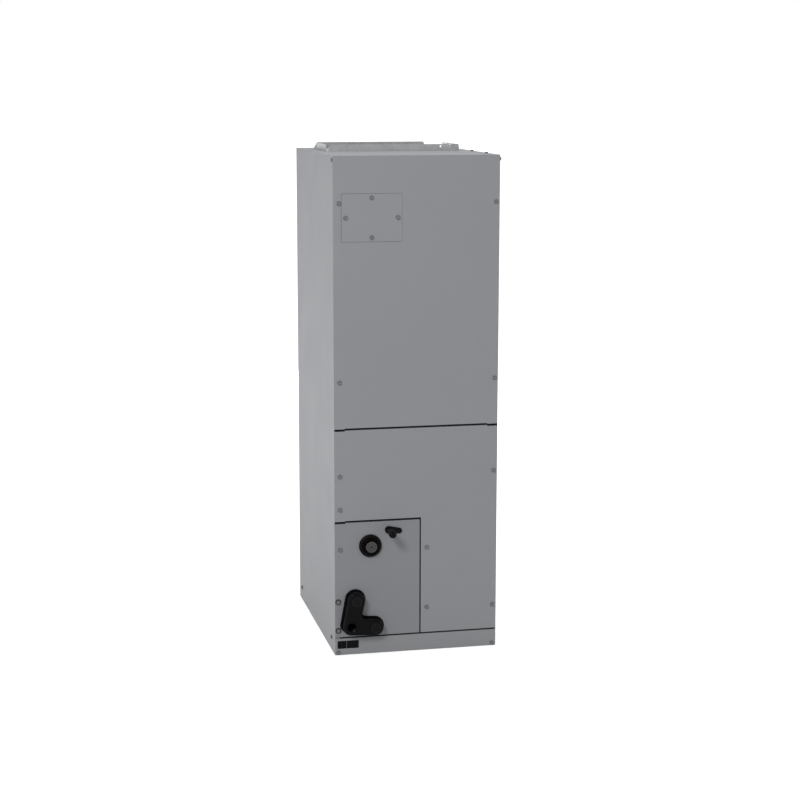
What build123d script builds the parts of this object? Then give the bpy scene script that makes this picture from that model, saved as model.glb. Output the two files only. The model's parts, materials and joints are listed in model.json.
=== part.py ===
from build123d import *
import os
from math import asin, atan, cos, degrees, hypot, radians, sin

# Vertical ducted air handler: filter at the base, A-shaped cooling coil above it, blower at the top.
# Millimetres. X runs to the right seen from the front, Y to the back, Z up.
# The origin is the centre of the base, on the floor.

# Casing
WIDTH = 420.0
DEPTH = 560.0
HEIGHT = 1258.0
SHEET = 1.0
FRONT_FLANGE = 26.0
BACK_FLANGE = 16.0
END_FLANGE = 24.0
TOP_LIP = 20.0
FIT_GAP = 0.3

# Front panels, measured from the left edge and from the floor
SPLIT_HEIGHT = 583.0
FITTING_WIDTH = 220.5
FITTING_TOP = 347.0
STRIP_HEIGHT = 46.0
SEAM = 3.0
EDGE_STEP = 2.0
EDGE_STEP_WIDTH = 27.0
RETURN_DEPTH = 10.0
RAIL_GAP = 1.0
RAIL_HEIGHT = 20.0
RAIL_FLANGE = 5.0
CENTRE_RAIL_HEIGHT = 40.0
CENTRE_RAIL_FLANGE = 20.0
POST_RECESS = 12.0
POST_FORWARD = 9.5
POST_LAND = 20.0
DOOR_LIFT = 1.5
DOOR_EAR = 13.0
PANEL_TOP_GAP = 0.5

# Screws: hex washer heads on sheet metal
SCREW_SHANK = 2.1
SCREW_HOLE = 2.2
SCREW_LENGTH = 9.0
SCREW_WASHER = 5.6
SCREW_WASHER_THICK = 1.0
SCREW_FLATS = 8.0
SCREW_HEAD = 3.6
SEALING_WASHER = 7.4
SEALING_WASHER_THICK = 1.6

# Screw places: inset from an edge, and height from the floor
LEFT_INSET = 14.5
RIGHT_INSET = 9.0
DRAIN_SIDE_INSET = 8.4
BLOWER_SCREW_HIGH = 115.0
BLOWER_SCREW_LOW = 118.0
COIL_SCREW_HEIGHTS = (378.0, 463.0)
COIL_RIGHT_SCREW_LOW = 110.0
SEAM_SCREW_INSET = 17.0
SEAM_SCREW_HEIGHTS = (114.0, 271.0)
FITTING_SCREW_HEIGHT = 275.0
FITTING_WASHER_HEIGHTS = (65.0, 140.0)
DOOR_SCREW_HEIGHT = 7.0
SIDE_TOP_SCREW = 10.0
SIDE_LOW_SCREW = 35.5
SIDE_FRONT_SCREW_INSET = 5.4
SIDE_LOW_SCREW_INSET = 42.0
TOP_SCREW_DEPTHS = (84.0, 228.0)
TOP_SCREW_INSET = 13.0
BACK_SCREW_HEIGHTS = (60.0, 420.0, 780.0, HEIGHT - 68.0)
BACK_SCREW_INSET = 8.0

# Breaker cover plate on the blower panel
PLATE_LEFT = 21.0
PLATE_DROP = 92.0
PLATE_WIDTH = 151.0
PLATE_HEIGHT = 117.0
PLATE_SCREW_INSET = 10.0
PLATE_LAP = 19.0

# Suction stub, its grommet and its plug
SUCTION_HEIGHT = 283.0
SUCTION_RADIUS = 11.11
SUCTION_WALL = 1.0
SUCTION_PROUD = 17.0
SUCTION_GROMMET = 29.0
SUCTION_GROMMET_PROUD = 7.0
SUCTION_GROMMET_NECK = 24.0
SUCTION_GROMMET_BACK = 27.0
SUCTION_GROMMET_HOLE = 12.4
SUCTION_PLUG = 14.0
SUCTION_PLUG_THICK = 3.0
SUCTION_PLUG_SPIGOT = 15.0
SUCTION_PLUG_CLEARANCE = 0.5
PLUG_PINHOLE = 2.2
GROMMET_BACK_THICK = 3.0

# Liquid stub, its two-lobed grommet and its cap
LIQUID_LEFT = 138.4
LIQUID_HEIGHT = 321.5
LIQUID_RADIUS = 4.76
LIQUID_WALL = 0.8
LIQUID_PROUD = 54.0
LIQUID_LOBE = 9.8
LIQUID_SIDE_LOBE = 7.0
LIQUID_SIDE_OFFSET = 27.0
LIQUID_SIDE_DROP = 3.0
LIQUID_GROMMET_PROUD = 4.0
LIQUID_GROMMET_LAP = 2.5
LIQUID_GROMMET_HOLE = 5.8
CAP_NECK = 6.7
CAP_SKIRT = 5.75
CAP_HEAD = 9.4
CAP_HEAD_LENGTH = 20.0
CAP_END = 4.0

# Drain outlet block: three lobes in an L, measured from the left edge and the floor
UPPER_PORT = (51.7, 145.4)
CORNER_PORT = (38.5, 78.0)
RIGHT_PORT = (100.7, 74.0)
UPPER_LOBE = 21.9
CORNER_LOBE = 21.0
RIGHT_LOBE = 20.5
CORNER_CHAMFER = 18.2
BLOCK_PROUD = 25.0
BLOCK_FILLET = 5.0
INNER_CORNER_FILLET = 9.0
CUTOUT_GAP = 1.0
GASKET_WIDTH = 4.4
GASKET_THICK = 2.0
PORT_RADIUS = 12.1
PORT_DEPTH = 20.0
PORT_BORE = 9.0
PORT_RIM = 15.5
PORT_RIM_PROUD = 1.6
DRAIN_PLUG_CLEARANCE = 0.1
DRAIN_PLUG_LENGTH = 14.0
DRAIN_PLUG_HEAD = 14.4
DRAIN_PLUG_HEAD_THICK = 1.8
DRAIN_PLUG_SQUARE = 9.0
DRAIN_PLUG_SQUARE_DEPTH = 5.0
DRAIN_FLANGE = 12.0

# Blank plates on the filter door
BLANK_LEFT = 6.2
BLANK_BOTTOM = 17.4
BLANK_HEIGHT = 20.1
BLANK_WIDTHS = (23.0, 30.5)
BLANK_GAP = 0.9
BLANK_THICK = 0.6

# Filter and its runners
FILTER_SIDE_ROOM = 35.5
FILTER_BACK_ROOM = 50.0
FILTER_THICK = 19.0
FILTER_RIM = 16.0
FILTER_PLEATS = 18
RUNNER_LIP = 12.0
RUNNER_GAP = 0.75
FILTER_SETBACK = 14.0

# Base pan and its return opening
RETURN_LAP = 14.5
RETURN_MARGIN = 45.0

# Top opening and its duct flanges
OUTLET_WIDTH = 320.0
OUTLET_DEPTH = 179.0
OUTLET_BACK_ROOM = 77.0
DUCT_FOOT = 12.0
DUCT_FLANGE_HEIGHT = 17.0
DUCT_BEVEL = 10.0
FRONT_DUCT_BEYOND = (10.0, -2.0)
BACK_DUCT_BEYOND = (14.0, -22.0)
RIGHT_DUCT_BEYOND = (42.0, -17.0)
LEFT_DUCT_BEYOND = (-3.0, -27.0)
DUCT_HOLE_INSET = 34.0
DUCT_HOLE_HEIGHT = 10.0
DUCT_HOLE = 3.2
DUCT_HOLE_SHIFT = 3.0

# Insulation
LINER = 12.0
PANEL_LINER = 8.0
LINER_MARGIN = 8.0

# Coil shelves and condensate pans
SHELF_HEIGHT = 48.0
SHELF_DEPTH = 44.0
SHELF_DROP = 18.0
PAN_SIDE_ROOM = 20.0
PAN_FRONT_ROOM = 36.0
PAN_BACK_ROOM = 18.0
PAN_HEIGHT = 51.0
PAN_WALL = 2.5
PAN_TROUGH = 69.0
PAN_END_TROUGH = 50.0
SIDE_PAN_TOP = 532.0
SIDE_PAN_RIM = 14.0
SIDE_PAN_GAP = 1.0

# A-shaped coil
COIL_FOOT_INSET = 47.0
COIL_FOOT_HEIGHT = 118.0
COIL_APEX_GAP = 41.2
COIL_FRONT_ROOM = 65.0
COIL_BACK_ROOM = 45.0
TUBE_SHEET = 1.5
TUBE_PITCH = 25.4
ROW_PITCH = 22.0
TUBES_PER_ROW = 15
CIRCUIT = 5
FIN_DEPTH = 44.0
FINS = 12
FIN_THICK = 2.0
FIN_FIT = 0.05
SHEET_MARGIN = 4.0
TUBE_RADIUS = 4.76
TUBE_WALL = 0.5
TUBE_STUB = 1.0
SHEET_FOOT_WIDTH = 30.0
APEX_LAP = 22.0

# Refrigerant pipework
MANIFOLD_DEPTH = 31.0
MANIFOLD_RADIUS = 12.7
MANIFOLD_WALL = 1.2
MANIFOLD_BEND = 24.0
MANIFOLD_START = 100.0
MANIFOLD_END = 352.0
TEE_RADIUS = 12.2
TEE_DEPTH = 15.0
METERING_DEPTH = 40.0
METERING_DROP = 34.0
METERING_BEND = 18.0
METERING_RADIUS = 8.5
METERING_LENGTH = 42.0
METERING_NUT = 11.0
METERING_NUT_LENGTH = 12.0
DISTRIBUTOR_RADIUS = 10.0
DISTRIBUTOR_LENGTH = 28.0
FEEDER_RADIUS = 1.6
FEEDER_BEND = 9.0
FEEDER_SPREAD = 5.0
FEEDER_DEPTHS = (38.0, 44.0)
FEEDER_STEP = 10.0
FEEDER_DROP = 20.0
FEEDER_BYPASS = 22.0

# Blower: double-inlet wheel in a scroll, shaft left to right
WHEEL_RADIUS = 114.3
WHEEL_WIDTH = 203.0
BLADE_DEPTH = 18.0
BLADE_BOW = 4.5
BLADE_DIP = 1.5
BLADE_THICK = 0.8
BLADES = 36
WHEEL_RING = 2.0
WHEEL_DISC = 1.5
HUB_RADIUS = 18.0
HUB_LENGTH = 28.0
SHAFT_RADIUS = 6.35
SHAFT_CLEARANCE = 0.05
SHAFT_IN_MOTOR = 40.0
SHAFT_DROP = 191.0
SCROLL_CLEARANCE = 11.7
SCROLL_REACH = 215.0
SCROLL_TONGUE_ANGLE = 72.0
HOUSING_INSET = 25.0
INLET_RADIUS = 90.0
INLET_LIP = 12.0
CUTOFF_HEIGHT = 60.0
CUTOFF_ROLL = 4.0
BLOWER_FLANGE_LAP = 12.0
MOTOR_RADIUS = 70.0
MOTOR_LENGTH = 118.0
MOTOR_INSIDE = 30.0
MOTOR_BELL = 14.0
MOTOR_BAND = 1.5
MOTOR_BAND_WIDTH = 20.0
MOTOR_BAND_GAP = 3.0
MOTOR_ARMS = 3
MOTOR_ARM_TURN = 60.0
ARM_WIDTH = 18.0
ARM_THICK = 3.0
ARM_REACH = 116.0
SET_SCREW = 3.0

# Control tray and what it carries
TRAY_DROP = 58.0
TRAY_HEIGHT = 190.0
TRAY_DEPTH = 90.0
TRAY_SETBACK = 16.0
TRAY_RIM = 14.0
BOARD_INSET = 85.0
BOARD_SIZE = (110.0, 80.0)
BOARD_RELAY = (22.0, 14.0, 26.0)
BOARD_CONNECTOR = (36.0, 9.0, 7.0)
BOARD_CAPACITOR_RADIUS = 6.5
BOARD_CAPACITOR_LENGTH = 16.0
BOARD_THICK = 1.6
STANDOFF = 8.0
STANDOFF_RADIUS = 3.0
TRANSFORMER_SIZE = (62.0, 34.0, 52.0)
WINDING_SIZE = (37.0, 47.6, 31.0)
CAPACITOR_RADIUS = 20.0
CAPACITOR_LENGTH = 74.0
TERMINAL_SIZE = (70.0, 26.0, 30.0)
TERMINAL_WAYS = 4
LUG_SIZE = (10.0, 16.0, 14.0)
LUG_HOLE = 3.2
LUG_DROP = 13.0
RELAY_SIZE = (42.0, 40.0, 36.0)
RELAY_GAP = 4.0
HARNESS_RADIUS = 5.0
HARNESS_BEND = 26.0
HARNESS_STRAIGHT = 4.0

LEFT = -WIDTH / 2
RIGHT = WIDTH / 2
FRONT = -DEPTH / 2
BACK = DEPTH / 2
PANEL_BACK = FRONT + SHEET
RAIL_Y = PANEL_BACK + RETURN_DEPTH + RAIL_GAP
BLOCK_FRONT = FRONT - BLOCK_PROUD
PLATE_BOTTOM = HEIGHT - PLATE_DROP - PLATE_HEIGHT
LIQUID = (LEFT + LIQUID_LEFT, LIQUID_HEIGHT)
MIN_END = (Align.CENTER, Align.CENTER, Align.MIN)

FILTER_WIDTH = WIDTH - 2 * FILTER_SIDE_ROOM
RETURN_WIDTH = FILTER_WIDTH - 2 * RETURN_LAP
RETURN_LENGTH = DEPTH - 2 * RETURN_MARGIN
OUTLET_BACK = BACK - OUTLET_BACK_ROOM
OUTLET_FRONT = OUTLET_BACK - OUTLET_DEPTH
PAN_WIDTH = WIDTH - 2 * PAN_SIDE_ROOM
PAN_FRONT = FRONT + PAN_FRONT_ROOM
PAN_BACK = BACK - PAN_BACK_ROOM

# The coil's slabs lean so that their upper inner corners stand a set gap apart
COIL_FOOT = RIGHT - COIL_FOOT_INSET
COIL_FRONT = FRONT + COIL_FRONT_ROOM
COIL_BACK = BACK - COIL_BACK_ROOM
COIL_LENGTH = TUBES_PER_ROW * TUBE_PITCH
COIL_LEAN = COIL_FOOT - COIL_APEX_GAP / 2
SLOPE = asin(COIL_LEAN / hypot(COIL_LENGTH, FIN_DEPTH / 2)) - atan(FIN_DEPTH / 2 / COIL_LENGTH)

# The suction stub meets the left leg of the manifold at its own height
MANIFOLD_Y = FRONT + MANIFOLD_DEPTH
TEE_FRONT = FRONT + TEE_DEPTH
METERING_Y = FRONT + METERING_DEPTH
MANIFOLD_RISE = SUCTION_HEIGHT - COIL_FOOT_HEIGHT - ROW_PITCH / 2 * sin(SLOPE)
MANIFOLD_X = COIL_FOOT - MANIFOLD_RISE * sin(SLOPE) / cos(SLOPE) + ROW_PITCH / 2 * cos(SLOPE)
SUCTION = (-MANIFOLD_X, SUCTION_HEIGHT)

HOUSING_TOP = HEIGHT - SHEET
HOUSING_SIDE = OUTLET_WIDTH / 2 - HOUSING_INSET
HOUSING_WIDTH = 2 * HOUSING_SIDE
SHAFT_Y = OUTLET_BACK - SCROLL_REACH
SHAFT_Z = HEIGHT - SHAFT_DROP
TRAY_TOP = HEIGHT - TRAY_DROP
TRAY_BOTTOM = TRAY_TOP - TRAY_HEIGHT
TRAY_BACK = FRONT + TRAY_DEPTH
TRAY_FRONT = FRONT + TRAY_SETBACK


def block(x, y, z):
    """A box between two places on each axis."""
    size = [abs(pair[1] - pair[0]) for pair in (x, y, z)]
    centre = [(pair[0] + pair[1]) / 2 for pair in (x, y, z)]
    return Pos(*centre) * Box(*size)


def rod(radius, start, direction, length):
    """A cylinder from a start point along a direction."""
    place = Plane(origin=start, z_dir=direction).location
    return place * Cylinder(radius, length, align=MIN_END)


def tube(radius, wall, start, direction, length):
    """A straight pipe."""
    return rod(radius, start, direction, length) - rod(radius - wall, start, direction, length)


def front_face(outline, y_start, thickness):
    """A drawing in the XZ plane pushed back by its thickness, starting at one depth."""
    plane = Plane(origin=(0, y_start, 0), x_dir=(1, 0, 0), z_dir=(0, -1, 0))
    return extrude(plane * outline, amount=-thickness)


def side_face(outline, x_start, thickness):
    """A drawing in the YZ plane pushed to the right by its thickness."""
    plane = Plane(origin=(x_start, 0, 0), x_dir=(0, 1, 0), z_dir=(1, 0, 0))
    return extrude(plane * outline, amount=thickness)


def group(solids):
    """Separate solids kept together in one node."""
    flat = [solid for shape in solids for solid in shape.solids()]
    return Compound(children=flat)


def mirrored(shape):
    """The same piece on the other side of the casing."""
    return shape.mirror(Plane.YZ)


def bent_pipe(points, radius, wall, bend):
    """A pipe along straight runs joined by bends of one radius."""
    path = FilletPolyline(*points, radius=bend)
    start = Plane(origin=path @ 0, z_dir=path % 0)
    section = start * Circle(radius)
    if wall:
        section = section - start * Circle(radius - wall)
    return sweep(section, path=path)


def screw(point, direction):
    """A hex washer head screw whose head stands on the point and whose shank goes the other way."""
    out = Vector(*direction)
    place = Plane(origin=point, z_dir=out).location
    head = place * extrude(RegularPolygon(SCREW_FLATS / 2, 6, major_radius=False), amount=SCREW_HEAD)
    washer = rod(SCREW_WASHER, point, out, SCREW_WASHER_THICK)
    shank = rod(SCREW_SHANK, point, -out, SCREW_LENGTH)
    return head + washer + shank


def drilled(shape, points, direction, radius=SCREW_HOLE):
    """The shape with a hole along one direction at each point."""
    reach = 2 * SCREW_LENGTH
    for point in points:
        start = Vector(*point) - Vector(*direction) * reach
        shape = shape - rod(radius, start, direction, 2 * reach)
    return shape


def front_points(places, y=FRONT):
    """Places measured from the left edge and the floor, as points on the front."""
    return [(LEFT + x, y, z) for x, z in places]


# Places of the front screws
BLOWER_SCREWS = [
    (inset, z)
    for inset in (LEFT_INSET, WIDTH - RIGHT_INSET)
    for z in (HEIGHT - BLOWER_SCREW_HIGH, SPLIT_HEIGHT + BLOWER_SCREW_LOW)
]
SEAM_SCREWS = [(FITTING_WIDTH + SEAM_SCREW_INSET, z) for z in SEAM_SCREW_HEIGHTS]
COIL_SCREWS = [
    *[(LEFT_INSET, z) for z in COIL_SCREW_HEIGHTS],
    *[(WIDTH - RIGHT_INSET, z) for z in (COIL_RIGHT_SCREW_LOW, COIL_SCREW_HEIGHTS[1])],
    *SEAM_SCREWS,
]
FITTING_SCREWS = [(LEFT_INSET, FITTING_SCREW_HEIGHT)]
WASHER_SCREWS = [(DRAIN_SIDE_INSET, z) for z in FITTING_WASHER_HEIGHTS]
DOOR_SCREWS = [(DRAIN_SIDE_INSET, DOOR_SCREW_HEIGHT), (WIDTH - RIGHT_INSET, DOOR_SCREW_HEIGHT)]
PLATE_SCREWS = [
    (PLATE_LEFT + PLATE_WIDTH / 2, PLATE_BOTTOM + PLATE_HEIGHT - PLATE_SCREW_INSET),
    (PLATE_LEFT + PLATE_WIDTH / 2, PLATE_BOTTOM + PLATE_SCREW_INSET),
    (PLATE_LEFT + PLATE_SCREW_INSET, PLATE_BOTTOM + PLATE_HEIGHT / 2),
    (PLATE_LEFT + PLATE_WIDTH - PLATE_SCREW_INSET, PLATE_BOTTOM + PLATE_HEIGHT / 2),
]
FLANGE_SCREWS = BLOWER_SCREWS + COIL_SCREWS + FITTING_SCREWS + WASHER_SCREWS + DOOR_SCREWS
TOP_SCREWS = [
    (RIGHT - TOP_SCREW_INSET, FRONT + depth, HEIGHT) for depth in TOP_SCREW_DEPTHS
]
BACK_SCREWS = [
    (side * (RIGHT - BACK_SCREW_INSET), BACK, z) for side in (-1, 1) for z in BACK_SCREW_HEIGHTS
]


def side_screws(side):
    """Screws through one side wall: one near the top front corner, two above the base."""
    x = side * RIGHT
    return [
        (x, PANEL_BACK + SIDE_FRONT_SCREW_INSET, HEIGHT - SIDE_TOP_SCREW),
        (x, FRONT + SIDE_LOW_SCREW_INSET + SCREW_WASHER, SIDE_LOW_SCREW),
        (x, BACK - SIDE_LOW_SCREW_INSET, SIDE_LOW_SCREW),
    ]


# Drain outlet block and the openings round it

def port_place(port):
    """A drain port's centre in the XZ plane."""
    return Vector(LEFT + port[0], port[1])


def drain_outline(grow):
    """The L of three lobes, grown outwards all round."""
    lobes = (
        (UPPER_PORT, UPPER_LOBE),
        (CORNER_PORT, CORNER_LOBE),
        (RIGHT_PORT, RIGHT_LOBE),
    )
    upper, corner, right = [Pos(port_place(p)) * Circle(r + grow) for p, r in lobes]
    legs = make_hull((upper + corner).edges()) + make_hull((corner + right).edges())
    away = Vector(-1, -1).normalized()
    cut_centre = port_place(CORNER_PORT) + away * (CORNER_CHAMFER + grow + CORNER_LOBE)
    legs = legs - Pos(cut_centre) * Rot(0, 0, 45) * Rectangle(2 * CORNER_LOBE, 4 * CORNER_LOBE)
    inner = [v for v in legs.vertices() if is_inner_corner(v)]
    return fillet(inner, INNER_CORNER_FILLET - grow / 2) if inner else legs


def is_inner_corner(vertex):
    """The one corner of the L that lies between its upper and its right lobe."""
    corner = port_place(CORNER_PORT)
    right_of = corner.X + CORNER_LOBE / 2 < vertex.X < port_place(RIGHT_PORT).X
    above = corner.Y + CORNER_LOBE / 2 < vertex.Y < port_place(UPPER_PORT).Y
    return right_of and above


def drain_outlet_block():
    """Moulded block that brings the pans' outlets through the fitting panel."""
    body = front_face(drain_outline(0), BLOCK_FRONT, PAN_FRONT - BLOCK_FRONT)
    face_edges = body.faces().sort_by(Axis.Y)[0].edges()
    body = fillet(face_edges, BLOCK_FILLET)
    for port in (UPPER_PORT, CORNER_PORT, RIGHT_PORT):
        place = port_place(port)
        rim_front = BLOCK_FRONT - PORT_RIM_PROUD
        start = (place.X, rim_front, place.Y)
        body = body + rod(PORT_RIM, start, (0, 1, 0), PORT_RIM_PROUD + BLOCK_FILLET)
        body = body - rod(PORT_RADIUS, start, (0, 1, 0), PORT_DEPTH)
        body = body - rod(PORT_BORE, start, (0, 1, 0), PAN_FRONT - rim_front - PAN_WALL)
    return body


def drain_plug(port):
    """Plastic plug screwed into a drain port."""
    place = port_place(port)
    rim = BLOCK_FRONT - PORT_RIM_PROUD
    rim_at = (place.X, rim, place.Y)
    shank = rod(PORT_RADIUS - DRAIN_PLUG_CLEARANCE, rim_at, (0, 1, 0), DRAIN_PLUG_LENGTH)
    head = rod(DRAIN_PLUG_HEAD, rim_at, (0, -1, 0), DRAIN_PLUG_HEAD_THICK)
    half = DRAIN_PLUG_SQUARE / 2
    recess = block(
        (place.X - half, place.X + half),
        (rim - DRAIN_PLUG_HEAD_THICK, rim + DRAIN_PLUG_SQUARE_DEPTH),
        (place.Y - half, place.Y + half),
    )
    return shank + head - recess


# Casing

def side_panel(side):
    """Side wall with flanges folded inwards along its four edges."""
    inner = RIGHT - SHEET
    y = (PANEL_BACK, BACK - SHEET)
    z = (SHEET, HEIGHT - SHEET)
    wall = block((inner, RIGHT), y, z)
    front = block((RIGHT - FRONT_FLANGE, RIGHT), (y[0], y[0] + SHEET), z)
    back = block((RIGHT - BACK_FLANGE, RIGHT), (y[1] - SHEET, y[1]), z)
    top = block((RIGHT - END_FLANGE, RIGHT), y, (z[1] - SHEET, z[1]))
    base = block((RIGHT - END_FLANGE, RIGHT), y, (z[0], z[0] + SHEET))
    panel = wall + front + back + top + base
    if side < 0:
        panel = mirrored(panel)
        low = STRIP_HEIGHT + SEAM
        high = UPPER_PORT[1] + UPPER_LOBE + GASKET_WIDTH
        cut = (LEFT + DRAIN_FLANGE, LEFT + FRONT_FLANGE)
        panel = panel - block(cut, (y[0], y[0] + SHEET), (low, high))
    panel = drilled(panel, front_points(FLANGE_SCREWS), (0, 1, 0))
    panel = drilled(panel, [p for p in BACK_SCREWS if p[0] * side > 0], (0, 1, 0))
    panel = drilled(panel, side_screws(side), (1, 0, 0))
    if side > 0:
        panel = drilled(panel, TOP_SCREWS, (0, 0, 1))
    return panel


def back_panel():
    """Flat back, screwed to the side panels' rear flanges."""
    panel = block((LEFT, RIGHT), (BACK - SHEET, BACK), (SHEET, HEIGHT - SHEET))
    return drilled(panel, BACK_SCREWS, (0, 1, 0))


def outlet_hole():
    """The opening in the top, as a tall block to cut with."""
    half = OUTLET_WIDTH / 2
    return block((-half, half), (OUTLET_FRONT, OUTLET_BACK), (HEIGHT - TOP_LIP, HEIGHT + TOP_LIP))


def top_panel():
    """Top cover with the supply opening and a lip folded down behind the front."""
    plate = block((LEFT, RIGHT), (PANEL_BACK, BACK), (HEIGHT - SHEET, HEIGHT))
    half = RIGHT - FRONT_FLANGE - 2 * SHEET
    lip = block((-half, half), (PANEL_BACK, PANEL_BACK + SHEET), (HEIGHT - TOP_LIP, HEIGHT - SHEET))
    return drilled(plate + lip - outlet_hole(), TOP_SCREWS, (0, 0, 1))


def base_pan():
    """Floor of the casing: four strips round the return opening that the filter covers."""
    half_x = RETURN_WIDTH / 2
    half_y = RETURN_LENGTH / 2
    thick = (0, SHEET)
    front = block((LEFT, RIGHT), (PANEL_BACK, -half_y), thick)
    back = block((LEFT, RIGHT), (half_y, BACK), thick)
    sides = [block(x, (-half_y, half_y), thick) for x in ((LEFT, -half_x), (half_x, RIGHT))]
    return group([front, back, *sides])


def cross_rail(z_low, height, flange):
    """Channel across the casing behind the panels, open to the back."""
    inner = RIGHT - SHEET
    x = (-inner, inner)
    web = block(x, (RAIL_Y, RAIL_Y + SHEET), (z_low, z_low + height))
    low = block(x, (RAIL_Y, RAIL_Y + flange), (z_low, z_low + SHEET))
    high = block(x, (RAIL_Y, RAIL_Y + flange), (z_low + height - SHEET, z_low + height))
    return web + low + high


def centre_rail():
    """Rail behind the seam between the blower panel and the coil panel."""
    return cross_rail(SPLIT_HEIGHT - CENTRE_RAIL_HEIGHT / 2, CENTRE_RAIL_HEIGHT, CENTRE_RAIL_FLANGE)


def bottom_rail():
    """Rail behind the seam above the filter door."""
    return cross_rail(SHELF_HEIGHT - RAIL_HEIGHT, RAIL_HEIGHT, RAIL_FLANGE)


def fitting_rail():
    """Rail behind the seam above the fitting panel."""
    return cross_rail(FITTING_TOP - RAIL_HEIGHT / 2, RAIL_HEIGHT, RAIL_FLANGE)


def seam_post():
    """Upright between the lower rails, stepped so that the coil panel screws to its land."""
    z_high = FITTING_TOP - RAIL_HEIGHT / 2
    z = (STRIP_HEIGHT + SEAM + SHEET, z_high)
    seam = LEFT + FITTING_WIDTH
    step = seam + POST_FORWARD
    back = block((seam - POST_RECESS, step), (RAIL_Y, RAIL_Y + SHEET), (SHELF_HEIGHT, z_high))
    web = block((step - SHEET, step), (PANEL_BACK, RAIL_Y + SHEET), z)
    land = block((step - SHEET, step + POST_LAND), (PANEL_BACK, PANEL_BACK + SHEET), z)
    return drilled(back + web + land, front_points(SEAM_SCREWS), (0, 1, 0))


def duct_flange(along, ends, plane, foot_towards):
    """Strip along one edge of the top opening: a foot on the top and an upstand with bevelled ends.

    along is 'x' or 'y', ends are where it starts and stops, plane is the upstand's outer face and
    foot_towards is the sign of the way from the upstand to the opening.
    """
    height = DUCT_FLANGE_HEIGHT
    upstand_outline = make_face(
        Polyline(
            (ends[0], 0), (ends[1], 0), (ends[1] - DUCT_BEVEL, height),
            (ends[0] + DUCT_BEVEL, height), close=True,
        )
    )
    inner = plane + foot_towards * SHEET
    foot = sorted((plane, plane + foot_towards * DUCT_FOOT))
    if along == "x":
        thin = min(plane, inner)
        upstand = Pos(0, 0, HEIGHT) * front_face(upstand_outline, thin, SHEET)
        half = OUTLET_WIDTH / 2
        span = (max(ends[0], -half), min(ends[1], half))
        return upstand + block(span, foot, (HEIGHT, HEIGHT + SHEET))
    upstand = Pos(0, 0, HEIGHT) * side_face(upstand_outline, min(plane, inner), SHEET)
    span = (max(ends[0], OUTLET_FRONT), min(ends[1], OUTLET_BACK))
    return upstand + block(foot, span, (HEIGHT, HEIGHT + SHEET))


def reached(span, beyond):
    """A span whose two ends reach further out, or stop short where the reach is below zero."""
    return (span[0] - beyond[0], span[1] + beyond[1])


def duct_flanges():
    """The four strips that a supply duct slips over or screws to."""
    side = OUTLET_WIDTH / 2 + DUCT_FOOT
    front_plane = OUTLET_FRONT - DUCT_FOOT
    half = OUTLET_WIDTH / 2
    across = (-half, half)
    back = (OUTLET_FRONT, OUTLET_BACK)
    front = duct_flange("x", reached(across, FRONT_DUCT_BEYOND), front_plane, 1)
    holes = [
        (sign * (half - DUCT_HOLE_INSET) + DUCT_HOLE_SHIFT, front_plane, HEIGHT + DUCT_HOLE_HEIGHT)
        for sign in (-1, 1)
    ]
    flanges = [
        drilled(front, holes, (0, 1, 0), DUCT_HOLE),
        duct_flange("x", reached(across, BACK_DUCT_BEYOND), OUTLET_BACK + DUCT_FOOT, -1),
        duct_flange("y", reached(back, LEFT_DUCT_BEYOND), -side, 1),
        duct_flange("y", reached(back, RIGHT_DUCT_BEYOND), side, -1),
    ]
    return group(flanges)


def wall_liner(side, y_front, z):
    """Insulation board on a side wall, between the casing's flanges."""
    x = sorted((side * (RIGHT - SHEET), side * (RIGHT - SHEET - LINER)))
    return block(x, (y_front, BACK - SHEET - LINER), z)


def liners():
    """Insulation boards of the coil and blower compartments."""
    coil_z = (SHELF_HEIGHT + 2 * SHEET, SPLIT_HEIGHT - CENTRE_RAIL_HEIGHT / 2 - SHEET)
    blower_z = (SPLIT_HEIGHT + CENTRE_RAIL_HEIGHT / 2 + SHEET, HEIGHT - 2 * SHEET - SCREW_LENGTH)
    half = RIGHT - BACK_FLANGE - FIT_GAP
    boards = [block((-half, half), (BACK - SHEET - LINER, BACK - SHEET), (coil_z[0], blower_z[1]))]
    for side in (-1, 1):
        boards.append(wall_liner(side, PAN_FRONT, coil_z))
        boards.append(wall_liner(side, TRAY_BACK + LINER_MARGIN, blower_z))
    return boards


# Front panels

def stepped_edge(z_mid, z_end, y):
    """Two ends of a panel that reach lower than its folded middle, as cutting blocks for the middle."""
    half = RIGHT - EDGE_STEP_WIDTH
    return block((-half, half), y, (z_end, z_mid))


def plate_opening(grow=0.0):
    """Opening behind the breaker cover plate."""
    x = (LEFT + PLATE_LEFT + PLATE_LAP - grow, LEFT + PLATE_LEFT + PLATE_WIDTH - PLATE_LAP + grow)
    z = (PLATE_BOTTOM + PLATE_LAP - grow, PLATE_BOTTOM + PLATE_HEIGHT - PLATE_LAP + grow)
    return block(x, (FRONT - SHEET, FRONT + 2 * PANEL_LINER), z)


def blower_panel():
    """Upper front panel, its lower edge folded back between the casing's flanges."""
    z_mid = SPLIT_HEIGHT + SEAM / 2
    z_end = z_mid - EDGE_STEP
    y = (FRONT, PANEL_BACK)
    face = block((LEFT, RIGHT), y, (z_end, HEIGHT - PANEL_TOP_GAP))
    face = face - stepped_edge(z_mid, z_end, y)
    half = RIGHT - EDGE_STEP_WIDTH - SHEET
    fold = block((-half, half), (FRONT, PANEL_BACK + RETURN_DEPTH), (z_mid, z_mid + SHEET))
    panel = face + fold - plate_opening()
    return drilled(panel, front_points(BLOWER_SCREWS + PLATE_SCREWS), (0, 1, 0))


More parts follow.
